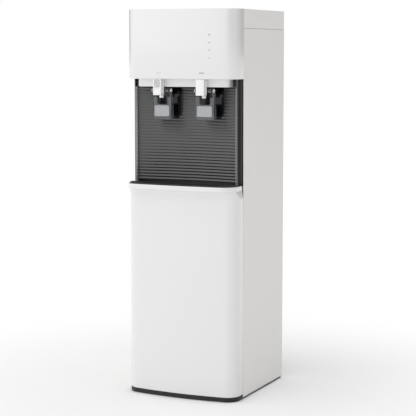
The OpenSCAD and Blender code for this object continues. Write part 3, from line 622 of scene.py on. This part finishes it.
def round_edges(bm: bmesh.types.BMesh, edges: list[bmesh.types.BMEdge], r: float, segments: int = 5) -> None:
    """Rounds chosen edges of a bmesh."""
    bmesh.ops.bevel(bm, geom=edges, offset=r, segments=segments, profile=0.5, affect="EDGES", material=-1)


def place(
    obj: bpy.types.Object, body: str, slot: str, *nodes: str, finish: str | None = None
) -> bpy.types.Object:
    """Dresses a piece and sets it on its body.

    Args:
        obj: the finished piece.
        body: the CAD body that it rides on.
        slot: the record's slot that it takes its finish from.
        nodes: the CAD nodes that it stands for.
        finish: another entry of FINISHES, where the slot's own isn't wanted.

    Returns:
        The piece.
    """
    obj.data.materials.clear()
    obj.data.materials.append(FINISHES[finish or slot].material())
    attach(obj, body)
    if nodes:
        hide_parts(*nodes)
    LOG.info("%s on %s, %d faces", obj.name, body, len(obj.data.polygons))
    return obj


# The model's own places -------------------------------------------------------------------------------------

RECORD = frame["record"]
NODE_SLOT: dict[str, str] = {s["node"]: s["material_slot"] for s in RECORD["subparts"]}
NODE_BODY: dict[str, str] = {n: b for b, nodes in RECORD["behaviour"]["bodies"].items() for n in nodes}
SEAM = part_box("upper_fascia")[1].y
HALF_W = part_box("upper_fascia")[1].x


class Tap(Enum):
    """The two taps, by the word that ends the names of their nodes."""

    HOT = "hot"
    COLD = "cold"

    @property
    def x(self) -> float:
        """Returns the tap's distance from the middle."""
        low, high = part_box(f"tap_body_{self.value}")
        return (low.x + high.x) / 2


# Sub-assemblies ---------------------------------------------------------------------------------------------


@dataclass
class UpperFascia:
    """The white moulding over the alcove, with its indicator lenses and marks."""

    bow_r: float = 933 * MM
    corner_r: float = 34 * MM
    wall: float = 2.5 * MM
    edge_r: float = 2.0 * MM
    lens_r: float = 1.9 * MM
    mark_r: float = 2.1 * MM
    mark_step: float = 9.5 * MM
    lens_sunk: float = 0.9 * MM
    lens_flat: float = 0.8
    film_t: float = 0.45 * MM
    film_sunk: float = 0.2 * MM
    mark_shift: float = 5.0 * MM
    tap_mark_up: float = 15.5 * MM
    stroke_step: float = 4.4 * MM
    stroke_w: float = 0.9 * MM
    stroke_t: float = 0.3 * MM
    stroke_h: float = 3.6 * MM

    def plan(self) -> BowedPlan:
        """Returns the fascia's plan."""
        return BowedPlan(HALF_W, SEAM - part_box("upper_fascia")[0].y, self.bow_r, self.corner_r)

    def surface_y(self, x: float) -> float:
        """Returns where the fascia's bow is at a distance x from the middle."""
        centre = self.bow_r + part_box("upper_fascia")[0].y
        return centre - math.sqrt(self.bow_r**2 - x * x)

    def build(self) -> None:
        """Builds the shell, the lenses and the marks."""
        low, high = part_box("upper_fascia")
        plan, r = self.plan(), self.edge_r
        bottom = [(r * (1 - math.sin(a)), low.z + r * (1 - math.cos(a))) for a in QUARTER]
        top = [(r * (1 - math.cos(a)), high.z - r * (1 - math.sin(a))) for a in QUARTER]
        levels = [to_line(plan.chain(r), SEAM, low.z, 0.0)]
        levels += [level(plan.chain(inset), SEAM, z) for inset, z in bottom + top]
        levels += [to_line(plan.chain(r), SEAM, high.z, 0.0)]
        bm = loft(levels)
        face_outwards(bm, Vector((0, SEAM, (low.z + high.z) / 2)))
        shell = piece(bm, "fascia_shell")
        thicken(shell, self.wall)
        place(shell, "cabinet", "front_white", "upper_fascia")
        self.lenses()
        self.tap_marks(low.z)

    def lenses(self) -> None:
        """Builds a domed lens and a printed pictogram for each indicator."""
        low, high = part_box("indicator_lights")
        x = (low.x + high.x) / 2
        r = (high.x - low.x) / 2
        count = 4
        pitch = (high.z - low.z - 2 * r) / (count - 1)
        lens, marks = bmesh.new(), bmesh.new()
        face_y = self.surface_y(x)
        for i in range(count):
            z = low.z + r + i * pitch
            centre = Vector((x, face_y + self.lens_sunk, z))
            dome = bmesh.ops.create_uvsphere(
                lens, u_segments=20, v_segments=12, radius=self.lens_r, matrix=Matrix.Translation(centre)
            )
            bmesh.ops.scale(
                lens, vec=(1, self.lens_flat, 1), space=Matrix.Translation(-centre), verts=dome["verts"]
            )
            self.mark(marks, x - self.mark_step, z, sides=(3, 4, 6, 16)[i])
        place(piece(lens, "indicator_lenses"), "cabinet", "indicator_blue", "indicator_lights")
        place(piece(marks, "indicator_marks"), "cabinet", "button_grey", finish="print_grey")

    def mark(self, bm: bmesh.types.BMesh, x: float, z: float, sides: int, r: float | None = None) -> None:
        """Adds one printed pictogram, an outline with so many sides, as a film on the fascia."""
        r = r or self.mark_r
        turn = Matrix.Rotation(math.radians(90), 4, "X")
        spot = Matrix.Translation((x, self.surface_y(x) + self.film_sunk, z)) @ turn
        disc = bmesh.ops.create_circle(bm, cap_ends=True, segments=sides, radius=r, matrix=spot)
        faces = list({f for v in disc["verts"] for f in v.link_faces})
        bmesh.ops.inset_region(bm, faces=faces, thickness=r * 0.45, use_boundary=True)
        bmesh.ops.delete(bm, geom=faces, context="FACES")
        reach = r * 1.05
        ring = [
            f for f in bm.faces if all((v.co - Vector((x, v.co.y, z))).length < reach for v in f.verts)
        ]
        grown = bmesh.ops.extrude_face_region(bm, geom=ring)["geom"]
        bmesh.ops.translate(
            bm, vec=(0, -self.film_t, 0), verts=[v for v in grown if isinstance(v, bmesh.types.BMVert)]
        )
        bmesh.ops.recalc_face_normals(bm, faces=bm.faces)

    def tap_marks(self, low_z: float) -> None:
        """Builds a printed mark over each tap: a row of upright strokes for hot, of stars for cold."""
        bm = bmesh.new()
        for tap in Tap:
            turns = (0, 60, 120) if tap is Tap.COLD else (0,)
            for i in (-1, 0, 1):
                x = tap.x + self.mark_shift + i * self.stroke_step
                for degrees in turns:
                    spot = (
                        Matrix.Translation((x, self.surface_y(x), low_z + self.tap_mark_up))
                        @ Matrix.Rotation(math.radians(degrees), 4, "Y")
                        @ Matrix.Diagonal((self.stroke_w, self.stroke_t, self.stroke_h, 1.0))
                    )
                    bmesh.ops.create_cube(bm, size=1.0, matrix=spot)
        place(piece(bm, "tap_marks"), "cabinet", "button_grey", finish="print_grey")


@dataclass
class Skirt:
    """The white skirt under the fascia that carries the tap covers."""

    bow_r: float = 2000 * MM
    corner_r: float = 11 * MM
    edge_r: float = 2.6 * MM
    wall: float = 2.2 * MM

    def build(self) -> None:
        """Builds the skirt as a tray open at the top."""
        low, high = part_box("tap_skirt")
        plan = BowedPlan(high.x, SEAM - low.y, self.bow_r, self.corner_r, high.y - SEAM)
        r = self.edge_r
        levels = [to_line(plan.chain(r), SEAM, low.z, plan.back)]
        levels += [
            level(plan.chain(r * (1 - math.sin(a))), SEAM, low.z + r * (1 - math.cos(a))) for a in QUARTER
        ]
        levels += [level(plan.chain(), SEAM, high.z - 0.1 * MM)]
        bm = loft(levels)
        face_outwards(bm, Vector((0, high.y, high.z)))
        skirt = piece(bm, "tap_skirt_shell")
        thicken(skirt, self.wall)
        place(skirt, "cabinet", "front_white", "tap_skirt")


@dataclass
class AlcoveWall:
    """The black ribbed wall, hollow towards the front, with its cheeks and wings in one moulding."""

    bow_r: float = 800 * MM
    corner_r: float = 6 * MM
    middle: float = 8 * MM
    cheek_t: float = 2.5 * MM
    cheek_in: float = 10 * MM
    cheek_front: float = 18.4 * MM
    nose_r: float = 0.5 * MM
    rib_pitch: float = 7.8 * MM
    rib_depth: float = 1.5 * MM
    rib_low: float = 5 * MM
    rib_high: float = 4 * MM
    rib_steps: int = 10
    rib_sharpness: float = 1.2
    bow_steps: int = 20
    corner_steps: int = 6
    skin: float = 1.0 * MM
    wing_gap: float = 3.0 * MM
    wing_t: float = 3.0 * MM
    ledge_t: float = 2.5 * MM
    liner_t: float = 0.8 * MM
    liner_back: float = 2.5 * MM
    liner_down: float = 20 * MM

    def plan(self) -> tuple[list[Vector], list[Vector], list[float]]:
        """Draws the wall from its left wing to its right.

        Returns:
            Points, the way towards the room at each, and how much of a rib's depth each one takes.
        """
        inner = HALF_W - self.cheek_in - self.cheek_t
        bow_y = self.middle - self.bow_r
        swing = self.bow_r - self.corner_r
        cx = inner - self.corner_r
        tilt = math.asin(cx / swing)
        cy = bow_y + swing * math.cos(tilt)
        edge_y = -self.cheek_front + self.nose_r
        start = 90 - math.degrees(tilt)
        bow = arc(0, bow_y, self.bow_r, 90, start, self.bow_steps)
        corner = arc(cx, cy, self.corner_r, start, 0, self.corner_steps)
        right = bow + corner
        normals = [(Vector((0, bow_y)) - p).normalized() for p in bow]
        normals += [(Vector((cx, cy)) - p).normalized() for p in corner]
        weights = [1.0] * (len(right) - 3) + [0.7, 0.3, 0.0]
        outer, r = inner + self.cheek_t, self.nose_r
        wing = HALF_W - self.wing_gap
        tail = arc(inner + r, edge_y, r, 180, 270, 4) + arc(outer - r, edge_y, r, 270, 360, 4)
        tail += [Vector((outer, -self.wing_t)), Vector((wing, -self.wing_t)), Vector((wing, -0.5 * MM))]
        right += tail
        normals += [Vector((0, -1))] * len(tail)
        weights += [0.0] * len(tail)
        left = [Vector((-p.x, p.y)) for p in reversed(right[1:])]
        left_n = [Vector((-n.x, n.y)) for n in reversed(normals[1:])]
        return left + right, left_n + normals, list(reversed(weights[1:])) + weights

    def build(self) -> None:
        """Builds the wall with its ribs, and the ledge at its foot."""
        low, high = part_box("splash_panel")
        points, normals, weights = self.plan()
        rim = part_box("lower_front_panel")[1].z
        first, last = rim + self.rib_low, high.z - self.rib_high
        count = int((last - first) / self.rib_pitch)
        heights = [(low.z, 0.0), (first, 0.0)]
        for i in range(count):
            for k in range(1, self.rib_steps + 1):
                t = k / self.rib_steps
                swell = math.sin(math.pi * t) ** self.rib_sharpness
                heights.append((first + (i + t) * self.rib_pitch, swell))
        heights.append((high.z, 0.0))
        levels = [
            [
                Vector((p.x + n.x * w * s * self.rib_depth, p.y + n.y * w * s * self.rib_depth + SEAM, z))
                for p, n, w in zip(points, normals, weights)
            ]
            for z, s in heights
        ]
        bm = loft(levels)
        bmesh.ops.recalc_face_normals(bm, faces=bm.faces)
        inside = [f for f in bm.faces if abs(f.calc_center_median().x) < HALF_W / 2]
        if sum(f.calc_area() * f.normal.y for f in inside) > 0:
            bmesh.ops.reverse_faces(bm, faces=bm.faces)
        wall = piece(bm, "alcove_wall", sharp=60)
        thicken(wall, self.skin)
        place(wall, "cabinet", "alcove_black", "splash_panel")
        self.ledge(low)
        self.liners(rim, high.z - self.liner_down)

    def liners(self, low_z: float, high_z: float) -> None:
        """Builds the light glossy liner on the inner face of each cheek, with its edges round."""
        inner = HALF_W - self.cheek_in - self.cheek_t
        bm = bmesh.new()
        for side in (-1, 1):
            ends = (side * inner, side * (inner - self.liner_t))
            low = Vector((min(ends), SEAM - self.cheek_front, low_z + self.liner_t))
            high = Vector((max(ends), SEAM - self.liner_back, high_z - self.liner_t))
            add_block(bm, low, high)
        round_edges(bm, list(bm.edges), self.liner_t * 0.4, 2)
        place(piece(bm, "alcove_cheek_liners"), "cabinet", "alcove_black", finish="cheek_liner")

    def ledge(self, low: Vector) -> None:
        """Builds the ledge between the wall and the drip tray, with a rounded front edge."""
        width = HALF_W - self.wing_gap - 3.7 * MM
        bm = block(Vector((-width, low.y, low.z)), Vector((width, SEAM + 10 * MM, low.z + self.ledge_t)))
        front = edges_where(bm, lambda a, b: max(a.y, b.y) < low.y + MM and abs(a.z - b.z) < 0.1 * MM)
        round_edges(bm, front, 1.0 * MM, 3)
        place(piece(bm, "alcove_ledge"), "cabinet", "alcove_black")


@dataclass
class LowerPanel:
    """The tall white front with its cove and the rim round the drip tray."""

    bow_r: float = 933 * MM
    corner_r: float = 34 * MM
    rim_bow_r: float = 1500 * MM
    rim_corner_r: float = 38 * MM
    front: float = 60 * MM
    inset: float = 0.4 * MM
    side_gap: float = 3.0 * MM
    rim_h: float = 12.5 * MM
    cove_h: float = 24 * MM
    cove_hollow: float = 1.5
    cove_steps: int = 14
    lip_t: float = 3.0 * MM
    lip_r: float = 1.4 * MM
    foot_r: float = 1.5 * MM
    well: float = 11 * MM
    wall: float = 1.2 * MM

    def build(self) -> None:
        """Builds the panel from its foot up over the rim and down into the tray's well."""
        low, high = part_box("lower_front_panel")
        panel = BowedPlan(high.x, self.front - self.inset, self.bow_r, self.corner_r)
        rim = BowedPlan(HALF_W - self.side_gap, SEAM - low.y, self.rim_bow_r, self.rim_corner_r)
        rim_z = high.z - self.rim_h
        cove_z = rim_z - self.cove_h
        r, lip = self.foot_r, self.lip_r
        levels = [level(panel.chain(8 * MM), SEAM, low.z)]
        levels += [
            level(panel.chain(r * (1 - math.sin(a))), SEAM, low.z + r * (1 - math.cos(a))) for a in QUARTER
        ]
        levels += [level(panel.chain(), SEAM, low.z + (cove_z - low.z) * i / 8) for i in range(1, 9)]
        start, end = panel.chain(), rim.chain(lip * 0.7)
        for i in range(1, self.cove_steps + 1):
            t = i / self.cove_steps
            points = [p.lerp(q, t**self.cove_hollow) for p, q in zip(start, end)]
            levels.append(level(points, SEAM, cove_z + self.cove_h * t))
        levels += [
            level(rim.chain(lip * 0.7 * (1 - math.sin(a))), SEAM, rim_z + lip * 0.7 * (1 - math.cos(a)))
            for a in QUARTER[1:]
        ]
        levels += [
            level(rim.chain(lip * (1 - math.cos(a))), SEAM, high.z - lip * (1 - math.sin(a))) for a in QUARTER
        ]
        inner = self.lip_t
        levels += [
            level(rim.chain(inner - lip * (1 - math.sin(a))), SEAM, high.z - lip * (1 - math.cos(a)))
            for a in QUARTER
        ]
        levels.append(level(rim.chain(inner), SEAM, high.z - self.well))
        levels.append(to_line(rim.chain(inner), SEAM, high.z - self.well, 0.0))
        bm = loft(levels)
        face_outwards(bm, Vector((0, SEAM, (low.z + cove_z) / 2)))
        shell = piece(bm, "lower_panel_shell", sharp=50)
        thicken(shell, self.wall)
        place(shell, "cabinet", "front_white", "lower_front_panel")


@dataclass
class Cabinet:
    """The painted side panels and the lift-off lid."""

    sheet: float = 1.2 * MM
    fold_r: float = 2.2 * MM
    lid_r: float = 3.0 * MM
    lid_wall: float = 2.5 * MM
    lid_roof_r: float = 2.0 * MM
    hem: float = 1.2 * MM

    def build(self) -> None:
        """Builds both side panels and the lid."""
        for side, name in ((-1, "side_panel_left"), (1, "side_panel_right")):
            self.side_panel(side, name)
        self.lid()

    def side_panel(self, side: int, name: str) -> None:
        """Folds one side panel from a sheet: outer face, back flange and top flange.

        Args:
            side: -1 for the left and 1 for the right.
            name: the node that it stands for.
        """
        low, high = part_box(name)
        bm = block(low, high)
        gone = [
            f for f in bm.faces if f.normal.x * side < -0.5 or f.normal.y < -0.5 or f.normal.z < -0.5
        ]
        bmesh.ops.delete(bm, geom=gone, context="FACES")
        bm.edges.ensure_lookup_table()
        folds = [e for e in bm.edges if len(e.link_faces) == 2]
        round_edges(bm, folds, self.fold_r, 5)
        panel = piece(bm, f"{name}_sheet")
        thicken(panel, self.sheet)
        place(panel, "cabinet", "cabinet_paint", name)

    def lid(self) -> None:
        """Builds the lid as a shallow box open at the bottom."""
        low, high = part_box("top_lid")
        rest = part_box("side_panel_left")[1].z
        bm = block(Vector((low.x, low.y, rest + 0.3 * MM)), high)
        uprights = edges_where(bm, lambda a, b: abs(a.z - b.z) > 10 * MM and min(a.y, b.y) > 0)
        round_edges(bm, uprights, self.lid_r, 6)
        roof = edges_where(bm, lambda a, b: min(a.z, b.z) > high.z - 0.1 * MM)
        round_edges(bm, roof, self.lid_roof_r, 5)
        floor = [f for f in bm.faces if f.normal.z < -0.9]
        bmesh.ops.delete(bm, geom=floor, context="FACES")
        hem = [e for e in bm.edges if len(e.link_faces) == 1]
        grown = bmesh.ops.extrude_edge_only(bm, edges=hem)["geom"]
        verts = [v for v in grown if isinstance(v, bmesh.types.BMVert)]
        middle = (low + high) / 2
        draw_in = 1 - self.hem / HALF_W
        for v in verts:
            v.co.x = middle.x + (v.co.x - middle.x) * draw_in
            v.co.y = middle.y + (v.co.y - middle.y) * draw_in
        face_outwards(bm, middle)
        lid = piece(bm, "lid_shell")
        thicken(lid, self.lid_wall)
        place(lid, "lid", "front_white", "top_lid", finish="cabinet_paint")


@dataclass
class TapFront:
    """What shows of one tap in front: its cover, lever pad and, on the hot tap, the lock button."""

    tap: Tap
    cover_r: float = 2.6 * MM
    groove: float = 1.2 * MM
    groove_at: float = 5.0 * MM
    pad_r: float = 4.0 * MM
    pad_edge: float = 0.8 * MM
    button_r: float = 3.4 * MM
    button_w: float = 15.8 * MM
    button_gap: float = 0.4 * MM
    recess: float = 3.2 * MM
    dish: float = 0.35 * MM
    cover_depth: float = 19 * MM
    pad_sunk: float = 0.5 * MM

    def build(self) -> None:
        """Builds the cover, the pad and the button."""
        self.cover()
        self.pad()
        if self.tap is Tap.HOT:
            self.button()

    def cover(self) -> None:
        """Builds the cover with all its free edges round, and a recess for the button in the hot one."""
        name = f"tap_cover_{self.tap.value}"
        low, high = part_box(name)
        back = low.y + self.cover_depth
        bm = block(low, Vector((high.x, back, high.z)))
        free = edges_where(bm, lambda a, b: min(a.z, b.z) < low.z + MM or abs(a.z - b.z) > MM)
        round_edges(bm, free, self.cover_r, 6)
        bmesh.ops.recalc_face_normals(bm, faces=bm.faces)
        cover = piece(bm, f"{name}_shell")
        for side in (low.x, high.x):
            at = low.y + self.groove_at
            reach = Vector((self.groove, 0, 0))
            tool = block(Vector((side, at, low.z + self.groove_at)) - reach,
                         Vector((side, at + self.groove, high.z + MM)) + reach)
            carve(cover, piece(tool, "groove_tool"))
        if self.tap is Tap.HOT:
            b_low, b_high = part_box("lock_button")
            outline = self.button_outline(self.button_gap)
            tool = piece(slab(outline, b_low.y - MM, b_high.y + self.recess, 0.0), "button_recess_tool")
            carve(cover, tool)
        place(cover, "cabinet", "tap_white", name)

    def button_outline(self, grow: float) -> list[Vector]:
        """Returns the lock button's outline, larger all round by grow."""
        low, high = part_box("lock_button")
        return rounded(
            self.tap.x,
            (low.z + high.z) / 2,
            self.button_w + 2 * grow,
            high.z - low.z + 2 * grow,
            self.button_r + grow,
        )

    def button(self) -> None:
        """Builds the lock button with a rounded, slightly dished face."""
        low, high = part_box("lock_button")
        bm = slab(self.button_outline(0.0), low.y, high.y, 1.0 * MM, 4)
        front = max((f for f in bm.faces if f.normal.y < -0.9), key=lambda f: f.calc_area())
        bmesh.ops.inset_region(bm, faces=[front], thickness=1.6 * MM)
        bmesh.ops.inset_region(bm, faces=[front], thickness=1.2 * MM)
        bmesh.ops.translate(bm, vec=(0, self.dish, 0), verts=list(front.verts))
        place(piece(bm, "lock_button_cap"), "hot_lock", "button_grey", "lock_button")

    def pad(self) -> None:
        """Builds the lever's pad with a raised border."""
        name = f"lever_pad_{self.tap.value}"
        low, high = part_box(name)
        outline = rounded(self.tap.x, (low.z + high.z) / 2, high.x - low.x, high.z - low.z, self.pad_r)
        bm = slab(outline, low.y, high.y, self.pad_edge, 4)
        front = max((f for f in bm.faces if f.normal.y < -0.9), key=lambda f: f.calc_area())
        bmesh.ops.inset_region(bm, faces=[front], thickness=1.8 * MM)
        bmesh.ops.inset_region(bm, faces=[front], thickness=0.6 * MM)
        bmesh.ops.translate(bm, vec=(0, self.pad_sunk, 0), verts=list(front.verts))
        place(piece(bm, f"{name}_face"), f"{self.tap.value}_lever", "lever_grey", name)


@dataclass
class FinishedNodes:
    """The CAD nodes whose shape is right: copies with merged faces, rounded edges and their own finish."""

    edge: float = 0.35 * MM

    def edge_of(self, node: str) -> float:
        """Returns the radius that a node's edges get; wire and tube get none."""
        widths = {
            0.8 * MM: ("lever_hot", "lever_cold"),
            0.7 * MM: ("drip_tray",),
            0.6 * MM: ("base_pan", "switch_plate"),
            0.5 * MM: ("drip_grille", "nozzle_", "power_inlet", "feet", "hinge_pins_"),
            0.4 * MM: ("tap_plate_",),
        }
        bare = ("lever_spring", "evaporator_coil", "condenser", "water_tubes", "filter_drier", "indicator")
        if node.startswith(bare):
            return 0.0
        return next((width for width, names in widths.items() if node.startswith(names)), self.edge)

    def build(self) -> None:
        """Makes the finished copy of each CAD node that is still shown."""
        for name, source in frame["nodes"].items():
            if not source.hide_render:
                self.copy(name, source)

    def copy(self, name: str, source: bpy.types.Object) -> None:
        """Copies one node, merges its loose faces and rounds its edges."""
        bm = bmesh.new()
        bm.from_mesh(source.data)
        bmesh.ops.remove_doubles(bm, verts=bm.verts, dist=WELD)
        bmesh.ops.dissolve_limit(bm, angle_limit=math.radians(0.6), verts=bm.verts, edges=bm.edges)
        made = piece(bm, f"{name}_finished")
        if self.edge_of(name):
            soften(made, self.edge_of(name))
        place(made, NODE_BODY[name], NODE_SLOT[name], name)


# Floor, light and camera ------------------------------------------------------------------------------------


@dataclass(frozen=True)
class SoftLamp:
    """A tall soft light that stands round the scene and fades out to both sides.

    Args:
        azimuth: where its middle is, in degrees round from the front, positive to the right.
        spread: how far from its middle it fades out, in degrees.
        light: its brightness in the middle, where the white background is 1.
    """

    azimuth: float
    spread: float
    light: float

    def glow(self, tree: bpy.types.NodeTree, way: bpy.types.NodeSocket) -> bpy.types.NodeSocket:
        """Adds the nodes for the lamp.

        Args:
            tree: the world's node tree.
            way: the azimuth that a ray goes to, in radians.

        Returns:
            The lamp's brightness for that azimuth.
        """
        away = add(tree, "ShaderNodeMath", {"operation": "SUBTRACT"})
        tree.links.new(way, away.inputs[0])
        away.inputs[1].default_value = math.radians(self.azimuth)
        off = add(tree, "ShaderNodeMath", {"operation": "ABSOLUTE"}, {"Value": away.outputs["Value"]})
        fade = add(
            tree,
            "ShaderNodeMapRange",
            {
                "interpolation_type": "SMOOTHSTEP",
                "From Min": math.radians(self.spread),
                "From Max": 0.0,
                "To Max": self.light,
            },
            {"Value": off.outputs["Value"]},
        )
        return fade.outputs["Result"]


@dataclass
class Studio:
    """A pale floor, soft light from a few lamps all round and from above, and the camera."""

    camera_at: tuple[float, float, float] = (1.5272, -3.2268, 0.8892)
    yaw: float = 25.177
    pitch: float = 6.584
    lens: float = 117.68
    floor_size: float = 60.0
    floor_near: float = 0.3
    floor_far: float = 1.1
    key: SoftLamp = SoftLamp(azimuth=-40, spread=95, light=1.45)
    strip: SoftLamp = SoftLamp(azimuth=80, spread=30, light=0.4)
    fill: float = 0.1
    above: float = 1.2
    above_from: float = 0.3
    above_to: float = 0.8

    def build(self) -> None:
        """Sets up the floor, the sky and the camera."""
        self.floor()
        self.sky()
        self.camera()

    def floor(self) -> None:
        """Lays the plain pale floor, which brightens to the background's white away from the object."""
        bm = bmesh.new()
        bmesh.ops.create_grid(bm, x_segments=1, y_segments=1, size=self.floor_size / 2)
        ground = piece(bm, "floor")
        paint = Moulded("studio_floor_paint", "#fafafa", 0.7, 0.0, 400, grain_mm=4.0, grain_depth_mm=0.002)
        made = paint.material()
        tree = made.node_tree
        shader = tree.nodes["Principled BSDF"]
        place_at = add(tree, "ShaderNodeTexCoord").outputs["Object"]
        far = add(tree, "ShaderNodeVectorMath", {"operation": "LENGTH"}, {"Vector": place_at})
        fade = add(
            tree,
            "ShaderNodeMapRange",
            {"interpolation_type": "SMOOTHSTEP", "From Min": self.floor_near, "From Max": self.floor_far},
            {"Value": far.outputs["Value"]},
        )
        bright = add(tree, "ShaderNodeEmission", {"Color": linear("#ffffff"), "Strength": 1.0})
        both = add(tree, "ShaderNodeMixShader", {}, {"Fac": fade.outputs["Result"]})
        tree.links.new(shader.outputs["BSDF"], both.inputs[1])
        tree.links.new(bright.outputs["Emission"], both.inputs[2])
        tree.links.new(both.outputs["Shader"], tree.nodes["Material Output"].inputs["Surface"])
        ground.data.materials.append(made)

    def sky(self) -> None:
        """Surrounds the scene with the soft lamps, behind a background that is plain white to the eye."""
        world = bpy.data.worlds.new("studio_glow")
        world.use_nodes = True
        tree = world.node_tree
        tree.nodes.clear()
        way = add(tree, "ShaderNodeTexCoord").outputs["Generated"]
        parts = add(tree, "ShaderNodeSeparateXYZ", {}, {"Vector": way})
        front = add(tree, "ShaderNodeMath", {"operation": "MULTIPLY"})
        tree.links.new(parts.outputs["Y"], front.inputs[0])
        front.inputs[1].default_value = -1.0
        turn = add(tree, "ShaderNodeMath", {"operation": "ARCTAN2"})
        tree.links.new(parts.outputs["X"], turn.inputs[0])
        tree.links.new(front.outputs["Value"], turn.inputs[1])
        total = None
        for lamp in (self.key, self.strip):
            sum_up = add(tree, "ShaderNodeMath", {"operation": "ADD"})
            tree.links.new(lamp.glow(tree, turn.outputs["Value"]), sum_up.inputs[0])
            sum_up.inputs[1].default_value = self.fill
            if total:
                tree.links.new(total, sum_up.inputs[1])
            total = sum_up.outputs["Value"]
        height = add(
            tree,
            "ShaderNodeMapRange",
            {"interpolation_type": "SMOOTHSTEP", "From Min": self.above_from, "From Max": self.above_to},
            {"Value": parts.outputs["Z"]},
        )
        around = add(tree, "ShaderNodeBackground", {"Color": linear("#ffffff")}, {"Strength": total})
        above = add(tree, "ShaderNodeBackground", {"Color": linear("#ffffff"), "Strength": self.above})
        lit = add(tree, "ShaderNodeMixShader", {}, {"Fac": height.outputs["Result"]})
        tree.links.new(around.outputs["Background"], lit.inputs[1])
        tree.links.new(above.outputs["Background"], lit.inputs[2])
        seen = add(tree, "ShaderNodeBackground", {"Color": linear("#ffffff"), "Strength": 1.0})
        ray = add(tree, "ShaderNodeLightPath")
        both = add(tree, "ShaderNodeMixShader", {}, {"Fac": ray.outputs["Is Camera Ray"]})
        tree.links.new(lit.outputs["Shader"], both.inputs[1])
        tree.links.new(seen.outputs["Background"], both.inputs[2])
        add(tree, "ShaderNodeOutputWorld", {}, {"Surface": both.outputs["Shader"]})
        bpy.context.scene.world = world
        bpy.context.scene.view_settings.view_transform = "Standard"

    def camera(self) -> None:
        """Sets the camera at its place, level across and pitched down."""
        data = bpy.data.cameras.new("camera")
        data.lens = self.lens
        data.sensor_width = 36.0
        cam = bpy.data.objects.new("camera", data)
        cam.location = self.camera_at
        cam.rotation_euler = (math.radians(90 - self.pitch), 0.0, math.radians(self.yaw))
        bpy.context.scene.collection.objects.link(cam)
        bpy.context.scene.camera = cam


def main() -> None:
    """Builds the dispenser piece by piece, then the studio."""
    logging.basicConfig(level=logging.INFO, format="%(message)s")
    UpperFascia().build()
    Skirt().build()
    AlcoveWall().build()
    LowerPanel().build()
    Cabinet().build()
    for tap in Tap:
        TapFront(tap).build()
    FinishedNodes().build()
    Studio().build()


if __name__ == "__main__":
    main()
